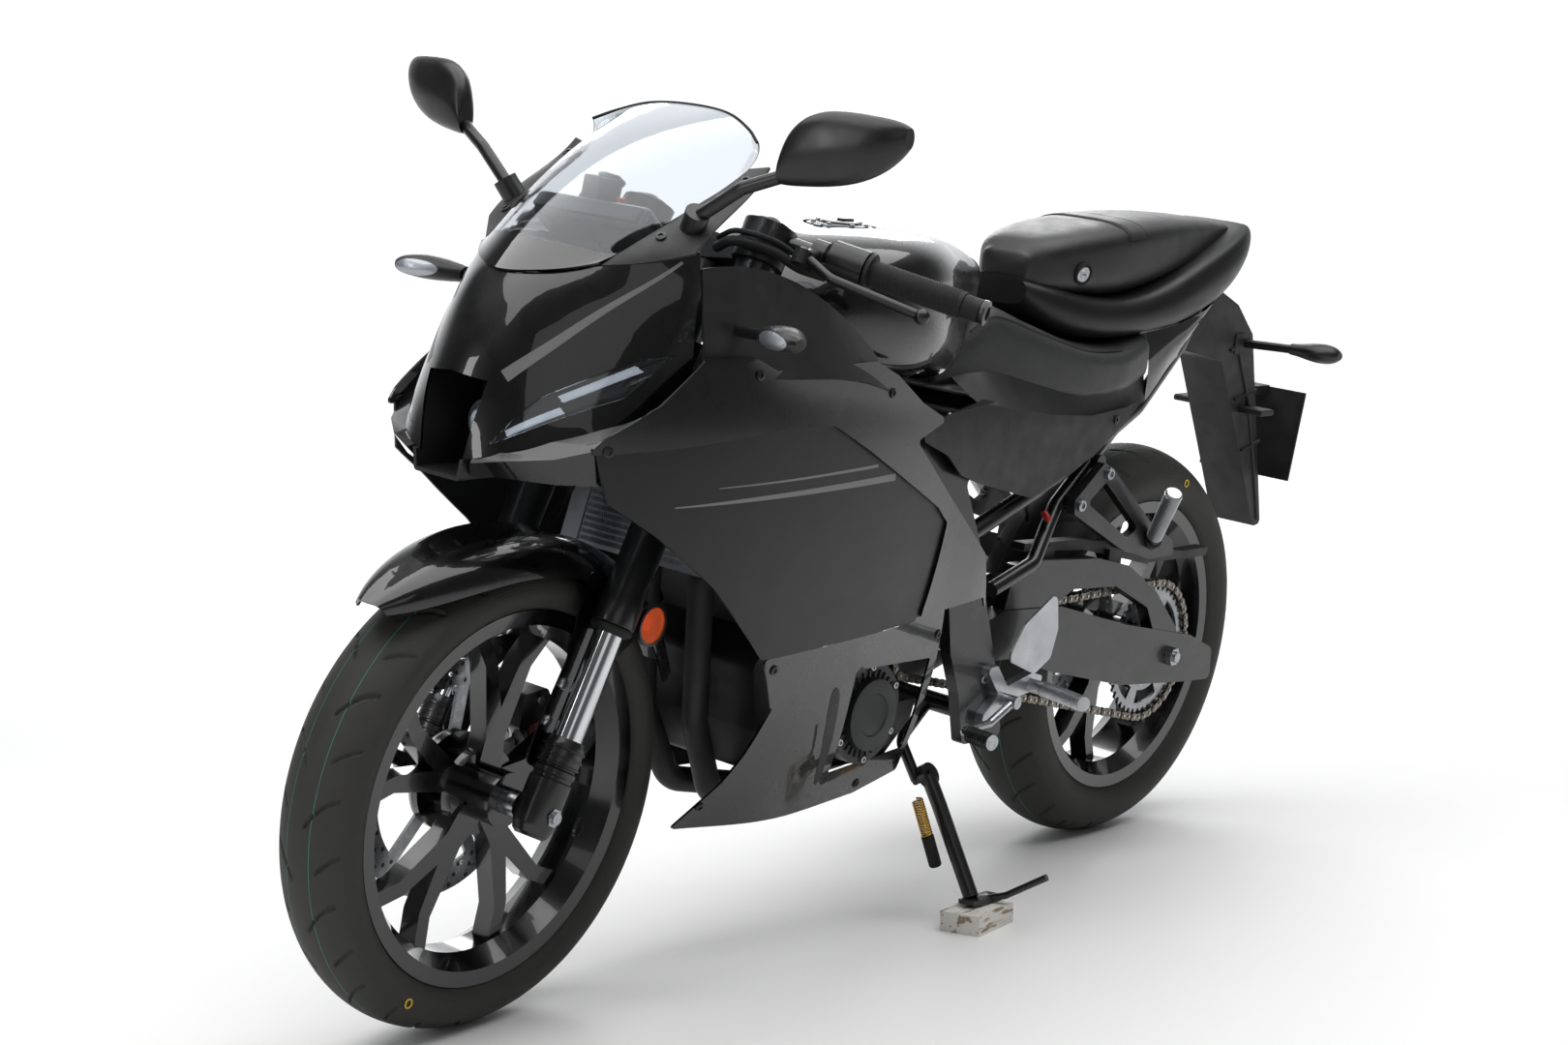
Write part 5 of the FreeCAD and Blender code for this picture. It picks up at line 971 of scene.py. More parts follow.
@dataclass
class Wheels(SubAssembly):
    """Tyres with their tread, and the valves."""

    sizes: dict = field(default_factory=lambda: {Body.FRONT_WHEEL: TyreSize(293, 56, 39),
                                                 Body.REAR_WHEEL: TyreSize(314, 70, 51.5)})

    def build(self) -> None:
        """Both tyres and both valves."""
        rubber = bpy.data.materials["tyre_rubber"]
        for body, frame, node in ((Body.FRONT_WHEEL, self.stance.front_wheel, "front_tyre"),
                                  (Body.REAR_WHEEL, self.stance.rear_wheel, "rear_tyre")):
            size = self.sizes[body]
            self.put(self.tyre(size), node + "_tread", frame, rubber, body, [node], 40)
            valve = self.valve(size)
            self.put(valve[0], node + "_valve", frame, Paint.RUBBER, body)
            self.put(valve[1], node + "_valve_tip", frame, Paint.BRASS, body)

    @staticmethod
    def section(size: TyreSize, across: int) -> tuple[np.ndarray, np.ndarray]:
        """The tyre's outer section from wall to wall, as (radius, side), and where it is crown.

        The crown is a circular arc through both shoulders and the top; each wall is an arc through the
        bead, the widest place and the shoulder.
        """
        edge = size.radius - size.half * 0.42
        shoulder = size.half * 0.92
        rise = size.radius - edge
        bow = (shoulder ** 2 + rise ** 2) / (2 * rise)
        reach = math.asin(shoulder / bow)
        angle = np.linspace(-reach, reach, across)
        crown = np.column_stack([size.radius - bow + bow * np.cos(angle), bow * np.sin(angle)])
        lip = size.bead + 6
        share = np.linspace(0, 1, 9)[:-1]
        low = np.array([size.flange + 1.7, -lip])
        high = np.array([edge, -shoulder])
        middle = np.array([(size.flange + edge) / 2, -size.half])
        control = 2 * middle - (low + high) / 2
        wall = np.array([(1 - t) ** 2 * low + 2 * t * (1 - t) * control + t * t * high for t in share])
        far_wall = wall[::-1] * np.array([1, -1])
        rows = np.vstack([wall, crown, far_wall])
        return rows, np.arange(len(rows)) - len(wall)

    def tyre(self, size: TyreSize, around: int = 1008, across: int = 59) -> Shape:
        """The tyre as one closed ring: the cut outer section, then the beads on the rim's seats.

        Args:
            size: the tyre.
            around: points round the tyre.
            across: points across its crown.

        Returns:
            The ring, its second texture coordinate running from wall to wall.
        """
        rows, order = self.section(size, across)
        half = (across - 1) / 2
        theta = np.linspace(0, 2 * math.pi, around, endpoint=False)
        radius = rows[:, 0][None, :] - self.cuts(size, (order - half) / half, theta)
        grid = np.stack([radius * np.cos(theta)[:, None], np.repeat(rows[None, :, 1], around, 0),
                         radius * np.sin(theta)[:, None]], -1)
        rest = size.bead - 2.3
        bead = [(size.flange, -size.bead + 0.6), (size.seat, -rest), (size.seat, rest),
                (size.flange, size.bead - 0.6)]
        inner = np.array([[[r * math.cos(t), y, r * math.sin(t)] for r, y in bead[::-1]] for t in theta])
        whole = np.concatenate([grid, inner], 1)
        shape = grid_shape(whole, closed_rows=True, closed_columns=True)
        count = whole.shape[1]
        along = np.linspace(0, 1, count)
        along[:len(rows)] = np.linspace(0, 1, len(rows))
        uv = np.stack([np.repeat(theta[:, None] / (2 * math.pi), count, 1),
                       np.repeat(along[None], around, 0)], -1)
        shape.uvs = [uv.reshape(-1, 2)]
        return shape

    @staticmethod
    def cuts(size: TyreSize, share: np.ndarray, theta: np.ndarray, slant: float = 0.72) -> np.ndarray:
        """How deep the slanted grooves go.

        A groove's middle runs from near the centre line to the shoulder and bends back on the way:
        its angle is a + b s + c s^2 with s the share of the half width. The depth falls off from the
        groove's middle as a flat-bottomed step. Both halves have the same grooves, half a step apart.

        Args:
            size: the tyre.
            share: places across the tyre, -1 and 1 at the shoulders.
            theta: angles round the tyre.
            slant: what a step round the tyre is worth across a slanted groove.

        Returns:
            Millimetres, with a row for each angle.
        """
        step = 2 * math.pi / size.repeats
        cut = np.zeros((len(theta), len(share)))
        reach = np.abs(share)
        for side, shift in ((1, 0.0), (-1, 0.5)):
            chosen = (reach <= 1) & (np.sign(share) == side)
            s = reach[chosen]
            for start, low, high, slope, bend in ((0.0, 0.10, 0.80, 0.95, -0.55),
                                                  (0.46, 0.42, 0.93, 0.75, -0.3)):
                middle = (start + shift + slope * s + bend * s * s) * step
                gap = (theta[:, None] - middle[None, :] + step / 2) % step - step / 2
                away = np.abs(gap) * size.radius * slant
                ends = np.clip(np.minimum(s - low, high - s) / 0.04, 0, 1)
                depth = np.clip(size.groove_half - away, 0, 1) * ends
                cut[:, chosen] = np.maximum(cut[:, chosen], depth * size.groove_depth)
        return cut

    @staticmethod
    def valve(size: TyreSize) -> tuple[Shape, Shape]:
        """A short rubber stem on the rim and its capped tip."""
        place = placed((197 * math.cos(2.2), size.bead * 0.35, 197 * math.sin(2.2)),
                       (-math.cos(2.2), 0.55, -math.sin(2.2)))
        stem = turned_shape([(6, -6), (6.2, 2), (4.2, 8), (4.0, 22), (0.1, 22)], 14)
        tip = turned_shape([(3.4, 21), (3.6, 24), (3.6, 30), (2.6, 32), (0.1, 32)], 14)
        return Shape().join(stem, place), Shape().join(tip, place)


@dataclass(frozen=True)
class ChainSize:
    """Millimetres of the chain and its sprockets."""

    pitch: float = 15.875
    front_teeth: int = 14
    rear_teeth: int = 43
    front: tuple = (648.0, 392.0)
    rear: tuple = (0.0, 314.0)
    line: float = 86.0
    plate_height: float = 12.6
    plate: float = 1.6
    roller: float = 5.0


@dataclass
class Chain(SubAssembly):
    """The drive chain, link by link."""

    size: ChainSize = ChainSize()

    def build(self) -> None:
        """Lays the links on the loop round both sprockets and joins them."""
        spots, tangents = self.run()
        plates, pins = Shape(), Shape()
        plate, roller = self.plate_shape(), self.roller_shape()
        for number, (spot, tangent) in enumerate(zip(spots, tangents)):
            place = standing((tangent[0], 0, tangent[1]), (0, -1, 0), (spot[0], self.size.line, spot[1]))
            lift = 5.0 if number % 2 else 6.9
            for side in (-1, 1):
                plates.join(plate, place @ shifted(0, 0, side * lift - self.size.plate / 2))
            pins.join(roller, place)
        self.put(plates, "chain_plates", self.stance.bike, Paint.CHAIN_STEEL, replaces=["chain"])
        self.put(pins, "chain_rollers", self.stance.bike, Paint.ZINC)

    def run(self) -> tuple[np.ndarray, np.ndarray]:
        """Roller places on the closed loop and the way from each to the next, in the side plane."""
        size = self.size
        front, rear = np.array(size.front), np.array(size.rear)
        small = size.pitch / (2 * math.sin(math.pi / size.front_teeth))
        big = size.pitch / (2 * math.sin(math.pi / size.rear_teeth))
        span = front - rear
        tilt = math.atan2(span[1], span[0])
        lean = math.acos((big - small) / np.linalg.norm(span))
        top, bottom = tilt + lean, tilt - lean
        rear_arc = np.linspace(top, bottom + 2 * math.pi, 90)
        front_arc = np.linspace(bottom, top, 30)
        loop = np.vstack([rear + big * np.column_stack([np.cos(rear_arc), np.sin(rear_arc)]),
                          front + small * np.column_stack([np.cos(front_arc), np.sin(front_arc)])])
        closed = np.vstack([loop, loop[:1]])
        lengths = np.concatenate([[0], np.cumsum(np.linalg.norm(np.diff(closed, axis=0), axis=1))])
        count = int(round(lengths[-1] / size.pitch / 2)) * 2
        wanted = np.linspace(0, lengths[-1], count, endpoint=False)
        spots = np.column_stack([np.interp(wanted, lengths, closed[:, i]) for i in (0, 1)])
        ahead = np.roll(spots, -1, 0) - spots
        return spots, ahead / np.linalg.norm(ahead, axis=1)[:, None]

    def plate_shape(self) -> Shape:
        """A waisted plate between two pins, flat on its sides."""
        size = self.size
        reach = size.plate_height / 2
        angles = np.linspace(math.pi / 2 + 0.25, 3 * math.pi / 2 - 0.25, 7)
        left = [(reach * math.cos(a), reach * math.sin(a)) for a in angles]
        right = [(size.pitch - x, z) for x, z in left[::-1]]
        middle, waist = size.pitch / 2, reach * 0.78
        rim = left + [(middle, -waist)] + right + [(middle, waist)]
        return slab(rim, size.plate, 0.25)

    def roller_shape(self) -> Shape:
        """A roller and the ends of its pin."""
        reach = self.size.roller
        return turned_shape([(0.1, -9.2), (2.4, -9.2), (2.4, -3.6), (reach, -3.4), (reach, 3.4), (2.4, 3.6),
                             (2.4, 9.2), (0.1, 9.2)], 10)


# Trim laid on surfaces


def facing(grid: np.ndarray, towards: Sequence[float], **closing: bool) -> Shape:
    """A surface through a grid, turned so that its faces look in a direction on the whole."""
    across = grid[:-1, 1:] - grid[:-1, :-1]
    down = grid[1:, :-1] - grid[:-1, :-1]
    normal = np.cross(across, down).reshape(-1, 3).sum(0)
    return grid_shape(grid, flip=bool(normal @ np.asarray(towards, float) < 0), **closing)


def ribbon(skin: Skin, frame: np.ndarray, path: np.ndarray, half: float | np.ndarray,
           along: Sequence[float], lift: float = 0.35) -> Shape:
    """A strip of film or trim laid on pieces, its edges turned down to the surface.

    Args:
        skin: the pieces it lies on.
        frame: the frame of the path.
        path: the strip's middle line, near the surface.
        half: half of the width, one value or one for each point.
        along: the direction in which the strip is pressed on.
        lift: how far it stands off the surface.

    Returns:
        The strip.
    """
    path = np.asarray(path, float)
    push = np.asarray(along, float) / np.linalg.norm(along)
    side = np.cross(np.gradient(path, axis=0), push)
    side = side / np.linalg.norm(side, axis=1)[:, None]
    wide = np.broadcast_to(np.asarray(half, float), (len(path),))
    low = min(-0.3, lift - 1.5) if lift < 0 else -0.3
    shares = np.array([-1, -1, -0.5, 0, 0.5, 1, 1])
    rises = np.array([low, lift, lift, lift, lift, lift, low])
    start = path[:, None] + side[:, None] * (wide[:, None] * shares)[..., None] - push * 60
    grid = skin.laid(frame, start.reshape(-1, 3), push, np.tile(rises, len(path)))
    return facing(grid.reshape(start.shape), -push)


def patch(skin: Skin, frame: np.ndarray, outline: np.ndarray, along: Sequence[float], lift: float,
          rings: Sequence[float] = (0.03, 0.35, 0.7, 1.0)) -> Shape:
    """A rounded or cornered patch laid on pieces, made of rings about its middle."""
    outline = np.asarray(outline, float)
    push = np.asarray(along, float) / np.linalg.norm(along)
    middle = outline.mean(0)
    grid = [skin.laid(frame, middle + (outline - middle) * share - push * 60, push, lift) for share in rings]
    shape = facing(np.array(grid), -push, closed_columns=True)
    inner = tuple(range(len(outline)))
    first = np.array(grid[0])
    normal = np.cross(first[1] - first[0], first[2] - first[1])
    shape.faces.append(inner if normal @ -push > 0 else inner[::-1])
    return shape


def seat_on(skin: Skin, frame: np.ndarray, start: Sequence[float],
            along: Sequence[float]) -> np.ndarray | None:
    """The place where a line from a point meets pieces, with local +Z along the outward direction there.

    Args:
        skin: the pieces.
        frame: the frame of the point.
        start: a point outside the pieces.
        along: the way to them.

    Returns:
        A 4x4 matrix in the frame, or None where the line meets nothing.
    """
    found = skin.hit(moved_to(frame, np.array([start], float))[0], direction_in(frame, along))
    if found is None:
        LOG.warning("nothing to sit on near %s", np.round(start))
        return None
    back = np.linalg.inv(frame)
    return placed(back[:3, :3] @ found[0] + back[:3, 3], back[:3, :3] @ found[1])


def stud(shape: Shape, bolt: Shape, place: np.ndarray | None) -> None:
    """Adds a bolt at a place, if there is one."""
    if place is not None:
        shape.join(bolt, place)


def on_side(points: Sequence, side: int) -> np.ndarray:
    """Points of the left side as they are for side 1, or on the right side for side -1."""
    return np.asarray(points, float) * np.array([1.0, side, 1.0])


@dataclass
class Lamps(SubAssembly):
    """What lies behind the clear covers in the nose, and the projector in the intake."""

    lower: Line = ((1540, 78, 745), (1540, 94, 758), (1540, 116, 776))
    upper: Line = ((1540, 112, 788), (1540, 130, 804), (1540, 153, 826))
    eye: Line = ((1540, 64, 731), (1540, 92, 750), (1540, 148, 793), (1540, 165, 838), (1540, 150, 833),
                 (1540, 97, 786))
    projector: Spot = (1412.0, 0.0, 742.0)

    def build(self) -> None:
        """Trays, light guides and the projector."""
        bike = self.stance.bike
        skin = Skin(self.nodes, ["headlamps"])
        push = (-1.0, 0.0, 0.0)
        trays, frames, lights = Shape(), Shape(), Shape()
        for side in (1, -1):
            outline = smooth_path(on_side(self.eye, side), 3, closed=True)
            trays.join(patch(skin, bike, outline, push, -9.0))
            for strip, wide in ((self.lower, 4.0), (self.upper, 4.4)):
                path = smooth_path(on_side(strip, side), 14)
                frames.join(ribbon(skin, bike, path, wide + 1.9, push, -6.8))
                lights.join(self.guide(ribbon(skin, bike, path, wide, push, -5.2), skin, path, wide, push))
        self.put(trays, "lamp_trays", bike, Paint.SMOOTH_PLASTIC)
        self.put(frames, "lamp_frames", bike, Paint.GLOSS_BLACK)
        self.put(lights, "lamp_light_guides", bike, Paint.LIGHT_GUIDE)
        place = placed(self.projector, (1, 0, 0))
        bowl = turned_shape([(26.6, 0.0), (26.6, 5.0), (22.0, 5.5), (21.0, 2.0), (8.0, 1.0), (0.1, 1.0)], 40)
        dome = turned_shape([(21.0, 2.0)] + [(21.0 * math.cos(a), 2.5 + 15 * math.sin(a))
                                             for a in np.linspace(0.1, math.pi / 2 - 0.02, 9)], 40)
        self.put(Shape().join(bowl, place), "projector_bowl", bike, Paint.BRIGHT_ALLOY)
        self.put(Shape().join(dome, place), "projector_lens", bike, CLEAR.build())

    def guide(self, band: Shape, skin: Skin, path: np.ndarray, half: float, push: tuple) -> Shape:
        """The band with a row of small ribs across it, as a moulded light guide has."""
        for spot in path[1:-1]:
            rib = np.array([spot + np.array([0, 0, 1.0]) * half * share for share in (-0.85, 0.85)])
            band.join(ribbon(skin, self.stance.bike, rib, 0.7, push, -4.2))
        return band


@dataclass
class Nose(SubAssembly):
    """Stripes on the nose, and the screen's edge and screws."""

    stripe: Line = ((1448, 58, 804), (1408, 86, 842), (1352, 118, 892), (1276, 156, 948))
    screen_edge: Line = ((1107, 0, 1118), (1112, 62, 1114), (1124, 106, 1100), (1138, 134, 1086))
    screws: Line = ((1166, 145, 1044), (1284, 126, 974))

    def build(self) -> None:
        """Both stripes, the edging and four screws."""
        bike = self.stance.bike
        skin = Skin(self.nodes, ["nose_cowl"])
        stripes = Shape()
        for side in (1, -1):
            path = smooth_path(on_side(self.stripe, side), 10)
            halves = np.linspace(7.5, 1.6, len(path))
            stripes.join(ribbon(skin, bike, path, halves, (-0.7, -0.5 * side, -0.5)))
        self.put(stripes, "nose_stripes", bike, Paint.STRIPE)
        rim = np.array(self.screen_edge, float)
        rim = smooth_path(np.vstack([on_side(rim[:0:-1], -1), rim]), 8)
        self.put(swept(rim, 1.9, 8), "screen_edging", bike, Paint.RUBBER)
        cheeks = Skin(self.nodes, ["screen_cheeks"])
        heads = Shape()
        for spot in self.screws:
            for side in (1, -1):
                along = np.array([-0.5, -0.13 * side, -0.855])
                seat = seat_on(cheeks, bike, np.array(spot) * [1, side, 1] - 30 * along, along)
                stud(heads, bolt_shape(6.5, 2.6), seat)
        self.put(heads, "screen_screws", bike, Paint.SMOOTH_PLASTIC)


@dataclass
class SideTrim(SubAssembly):
    """Stripes, screws and vents of the fairing's sides, and the engine cover's ribs."""

    stripes: tuple = (([(1300, 300, 671), (1150, 300, 675), (886, 300, 679)], 0.8, 4.6),
                      ([(1236, 300, 691), (1120, 300, 693), (930, 300, 697)], 0.6, 2.0))
    screws: tuple = ((262, 706, "side_covers"), (1395, 738, "shoulder_panels"),
                     (1180, 822, "shoulder_panels"), (912, 788, "shoulder_panels"),
                     (1085, 450, "belly_panels"), (1090, 250, "belly_panels"), (690, 440, "belly_panels"),
                     (760, 226, "belly_panels"))
    cover: Spot = (785.0, 130.3, 334.0)

    def build(self) -> None:
        """Films, screw heads, the belly's slot and the engine cover."""
        bike = self.stance.bike
        side_skin = Skin(self.nodes, ["side_panels"])
        films, heads, slots = Shape(), Shape(), Shape()
        for side in (1, -1):
            push = (0.0, -float(side), 0.0)
            for points, first, last in self.stripes:
                path = smooth_path(on_side(points, side), 12)
                films.join(ribbon(side_skin, bike, path, np.linspace(first, last, len(path)), push))
            for x, z, node in self.screws:
                seat = seat_on(Skin(self.nodes, [node]), bike, (x, side * 300, z), push)
                stud(heads, bolt_shape(6.5, 2.4), seat)
            belly = Skin(self.nodes, ["belly_panels"])
            slot = on_side([(934, 300, 388), (912, 300, 386), (878, 300, 268), (892, 300, 262)], side)
            slots.join(patch(belly, bike, smooth_path(slot, 4, closed=True), push, 0.4))
        self.put(films, "side_stripes", bike, Paint.STRIPE)
        self.put(heads, "fairing_screws", bike, Paint.SMOOTH_PLASTIC)
        self.put(slots, "belly_slots", bike, Paint.MOULDED)
        self.engine_cover(bike)

    def engine_cover(self, bike: np.ndarray) -> None:
        """The round cover's ribs and screws."""
        place = placed(self.cover, (0, 1, 0))
        ribs, heads = Shape(), Shape()
        for number in range(30):
            turn = 2 * math.pi * number / 30
            rib = shifted(55.5 * math.cos(turn), 55.5 * math.sin(turn), 0)
            rib[:3, :3] = about_z(turn)
            ribs.join(rounded_box(11.0, 2.4, 3.0, 1.0, 2), place @ rib)
        ring = turned_shape([(49.5, 0), (49.5, 11.5), (44, 12.5), (30, 12.8), (28, 11.0), (0.1, 11.0)], 48)
        ribs.join(ring, place)
        for number in range(6):
            turn = 2 * math.pi * (number + 0.5) / 6
            seat = np.array(self.cover) + np.array([64 * math.cos(turn), 0, 64 * math.sin(turn)])
            heads.join(bolt_shape(5.0, 4.0), placed(seat, (0, 1, 0)))
        self.put(ribs, "engine_cover_ribs", bike, Paint.COVER_GREY)
        self.put(heads, "engine_cover_screws", bike, Paint.ZINC)


@dataclass
class ForkTrim(SubAssembly):
    """Caps, seals, foot grooves and screws of the fork, the stem nut and the reflectors' rims."""

    spread: float = 97.0
    fender_screws: tuple = ((12, 152), (14, 104), (-22, 168))

    def build(self) -> None:
        """Everything that rides on the steering and isn't a bar."""
        fork = self.stance.fork
        dark, rubber, bright = Shape(), Shape(), Shape()
        fender = Skin(self.nodes, ["front_fender"])
        for side in (1, -1):
            y = side * self.spread
            leg = placed((0, y, 0))
            cap = [(24.6, 736.5), (24.6, 764), (22.6, 767), (14, 767), (13, 763), (0.1, 763)]
            dark.join(turned_shape(cap, 36), leg)
            dark.join(turned_shape([(10, 763), (10, 771), (8.5, 772.5), (0.1, 772.5)], 6), leg)
            seal = [(19, 226), (22, 228), (26.5, 232), (26.5, 236), (19, 236)]
            rubber.join(turned_shape(seal, 36, True), leg)
            for height in (60, 70, 80):
                ring = [(25.4, height - 2), (27.4, height - 1), (27.4, height + 1), (25.4, height + 2)]
                dark.join(turned_shape(ring, 36, True), placed((0, y, 0)))
            for x, z in self.fender_screws:
                seat = seat_on(fender, fork, (x, side * 84, z), (0, -side, 0))
                stud(bright, bolt_shape(7.5, 6.0, False), seat)
            rim = turned_shape([(22.6, -4), (26, -4), (26, 2.4), (22.6, 2.4)], 40, True)
            dark.join(rim, placed((-53, side * 112.5, 258), (0, side, 0)))
        nut = turned_shape([(16, 736), (16, 748), (13, 751), (8, 751), (7.5, 740), (0.1, 740)], 6)
        dark.join(nut, placed((-37.7, 0, 0)))
        self.put(dark, "fork_caps", fork, Paint.POWDER_BLACK, Body.STEERING)
        self.put(rubber, "fork_seals", fork, Paint.RUBBER, Body.STEERING)
        self.put(bright, "fender_screws", fork, Paint.ZINC, Body.STEERING)


@dataclass
class Brakes(SubAssembly):
    """Painted shade for the discs' holes, and the calipers' pins and pads."""

    def build(self) -> None:
        """Thin dark dots on both faces of both discs, painted shade where their holes are, and the front
        caliper's bright and red bits.
        """
        for body, frame, line, rows, name in (
                (Body.FRONT_WHEEL, self.stance.front_wheel, -52.0,
                 ((122.5, 30), (133, 30), (143.5, 30)), "front"),
                (Body.REAR_WHEEL, self.stance.rear_wheel, -66.0,
                 ((84, 24), (94, 24), (104, 24)), "rear")):
            hole_shade = Shape()
            for number, (radius, count) in enumerate(rows):
                for step in range(count):
                    turn = 2 * math.pi * (step + number / 3) / count
                    for side in (1, -1):
                        spot = (radius * math.cos(turn), line + side * 2.25, radius * math.sin(turn))
                        # each hole is a thin black disc laid on the face: painted shade, with no opening cut
                        # through the disc
                        disc = turned_shape([(3.0, 0.0), (3.0, 0.12), (0.1, 0.12)], 10)
                        hole_shade.join(disc, placed(spot, (0, side, 0)))
            self.put(hole_shade, name + "_disc_hole_shade", frame, Paint.SMOOTH_PLASTIC, body)
        fork = self.stance.fork
        red = Shape().join(rounded_box(46, 18, 2.4, 4, 3), placed((-106, -30, 104), (0, 1, 0), 40))
        pins = Shape()
        for x, z in ((-84, 132), (-118, 76), (-126, 112)):
            pins.join(bolt_shape(5.5, 5.0), placed((x, -30, z), (0, 1, 0)))
            pins.join(bolt_shape(5.5, 5.0), placed((x, -74, z), (0, -1, 0)))
        self.put(red, "caliper_pad_cover", fork, Paint.CALIPER_RED, Body.STEERING)
        self.put(pins, "caliper_screws", fork, Paint.ZINC, Body.STEERING)


@dataclass
class RadiatorCore(SubAssembly):
    """The radiator's tubes and fins."""

    centre: Spot = (1084.0, 0.0, 616.0)
    tilt: float = 16.0
    step: float = 8.6

    def build(self) -> None:
        """Flat tubes across the core, with a zigzag of fin between each two."""
        place = np.eye(4)
        turn = math.radians(self.tilt)
        place[:3, :3] = np.array([[math.cos(turn), 0, -math.sin(turn)], [0, 1, 0],
                                  [math.sin(turn), 0, math.cos(turn)]])
        place[:3, 3] = self.centre
        tubes, fins = Shape(), Shape()
        heights = np.arange(-70, 70.1, self.step)
        for height in heights:
            rim = np.array([(13.05, -114), (15.2, -114), (15.2, 114), (13.05, 114)])
            grid = np.array([np.column_stack([rim, np.full(4, height + dz)]) for dz in (-1.1, 1.1)])
            tubes.join(grid_shape(grid, closed_columns=True, caps=True), place)
        count = 58
        across = np.linspace(-113, 113, 2 * count + 1)
        for height in heights[:-1]:
            low, high = height + 1.2, height + self.step - 1.2
            level = np.where(np.arange(len(across)) % 2, high, low)
            grid = np.stack([np.column_stack([np.full(len(across), depth), across, level])
                             for depth in (14.6, 13.05)])
            fins.join(grid_shape(grid), place)
        self.put(tubes, "radiator_tubes", self.stance.bike, Paint.FIN_ALLOY)
        self.put(fins, "radiator_fins", self.stance.bike, Paint.FIN_ALLOY)


@dataclass
class Bars(SubAssembly):
    """Grip ribs, switches, lever pivots, the reservoir's lid and the looms along the bars."""

    root: np.ndarray = field(default_factory=lambda: np.array([0.0, 97.0, 748.3]))
    sweep: float = 18
    drop: float = 2
    grip_start: float = 144
    grip_length: float = 112.0
    clamp_place: float = 72
    switch_place: float = 111
    switch_back: np.ndarray = field(default_factory=lambda: np.array([-0.82, 0.0, 0.57]))
    buttons: tuple = ((-11, 8, 11, 8, 13), (2, 8, 8, 8, 12), (13, 7, 7, 10, 12), (-6, -8, 20, 9, 12),
                      (12, -8, 9, 9, 14))

    def build(self) -> None:
        """Both bars, the right one mirrored, and the reservoir's lid on the right."""
        fork = self.stance.fork
        swing, drop = math.radians(self.sweep), math.radians(self.drop)
        along = np.array([-math.sin(swing) * math.cos(drop), math.cos(swing) * math.cos(drop),
                          -math.sin(drop)])
        grips, boxes, bright, looms = Shape(), Shape(), Shape(), Shape()
        for side in (1, -1):
            root, way = on_side(self.root, side), on_side(along, side)
            grips.join(self.grip(), placed(root + way * self.grip_start, way))
            cap = [(14.6, 285), (15.2, 286), (15.2, 292), (9, 293), (8.6, 290), (0.1, 290)]
            boxes.join(turned_shape(cap, 28), placed(root, way))
            self.add_switches(boxes, root, way)
            clamp = root + way * self.clamp_place
            pivot = clamp + np.array([42.0, 5.0 * side, -20.0])
            bright.join(bolt_shape(6.0, 3.0), placed(pivot + np.array([0, 0, 9.0])))
            bright.join(bolt_shape(4.5, 4.0), placed(clamp + np.array([-19.0, 0, 0]), (-1, 0, 0)))
            loom = self.loom(root, way, side)
            looms.join(swept(loom, 6.5, 12))
            looms.join(swept(loom + np.array([4.0, 0, 12.0]), 3.6, 10))
        cup = on_side(self.root, -1) + on_side(along, -1) * self.clamp_place + np.array([24.0, -4.0, 36.0])
        lid = turned_shape([(17.8, -2), (18.6, -1), (18.6, 4), (17, 5.5), (0.1, 5.5)], 36)
        boxes.join(lid, placed(cup))
        for step in (-9, 9):
            bright.join(bolt_shape(2.6, 2.0), placed(cup + np.array([step, 0, 5.5])))
        self.put(grips, "grip_ribs", fork, Paint.RUBBER, Body.STEERING, smooth=20)
        self.put(boxes, "switches", fork, Paint.SMOOTH_PLASTIC, Body.STEERING)
        self.put(bright, "bar_screws", fork, Paint.ZINC, Body.STEERING)
        self.put(looms, "bar_looms", fork, Paint.RUBBER, Body.STEERING)

    def grip(self) -> Shape:
        """A sleeve with a rib at every other step."""
        steps = np.arange(0, self.grip_length, 1.6)
        ribs = [(17.3 if i % 2 else 16.6, step) for i, step in enumerate(steps)]
        return turned_shape([(16.4, 0.0)] + ribs + [(16.4, self.grip_length)], 28)

    def add_switches(self, boxes: Shape, root: np.ndarray, way: np.ndarray) -> None:
        """Adds the switch box's lid and its buttons, on the rider's side of the bar.

        Args:
            boxes: takes them.
            root: where the bar starts.
            way: the bar's direction.
        """
        back = self.switch_back
        place = standing(way, back, root + way * self.switch_place + back * 20)
        boxes.join(rounded_box(40, 34, 9, 5, 4), place)
        for u, v, wide, deep, tall in self.buttons:
            boxes.join(rounded_box(wide, deep, tall, 1.6, 3), place @ shifted(u, v, 0))

    @staticmethod
    def loom(root: np.ndarray, way: np.ndarray, side: int) -> np.ndarray:
        """The line of a loom from the switches in to the steering head.

        Args:
            root: where the bar starts.
            way: the bar's direction.
            side: 1 for the left bar, -1 for the right.

        Returns:
            Points along it.
        """
        return smooth_path([root + way * 92 + np.array([6, 0, -24.0]),
                            root + way * 60 + np.array([14, 0, -26.0]),
                            root + way * 34 + np.array([34, 0, -22.0]),
                            root + np.array([44.0, -10.0 * side, -26]),
                            root + np.array([30.0, -44.0 * side, -34])], 8)


@dataclass
class MirrorGlass(SubAssembly):
    """The mirrors' panes, on the side that faces the rider."""

    outline: Line = ((1000, 276, 1058), (1000, 272, 1088), (1000, 284, 1122), (1000, 340, 1133),
                     (1000, 386, 1126), (1000, 390, 1108), (1000, 360, 1074), (1000, 310, 1060))

    def build(self) -> None:
        """Both panes."""
        skin = Skin(self.nodes, ["mirrors"])
        panes = Shape()
        for side in (1, -1):
            rim = smooth_path(on_side(self.outline, side), 4, closed=True)
            panes.join(patch(skin, self.stance.bike, rim, (1, 0, 0), 0.8))
        silver = glass_material("mirror_silver", "#DDE2E6", 1.0)
        self.put(panes, "mirror_panes", self.stance.bike, silver)


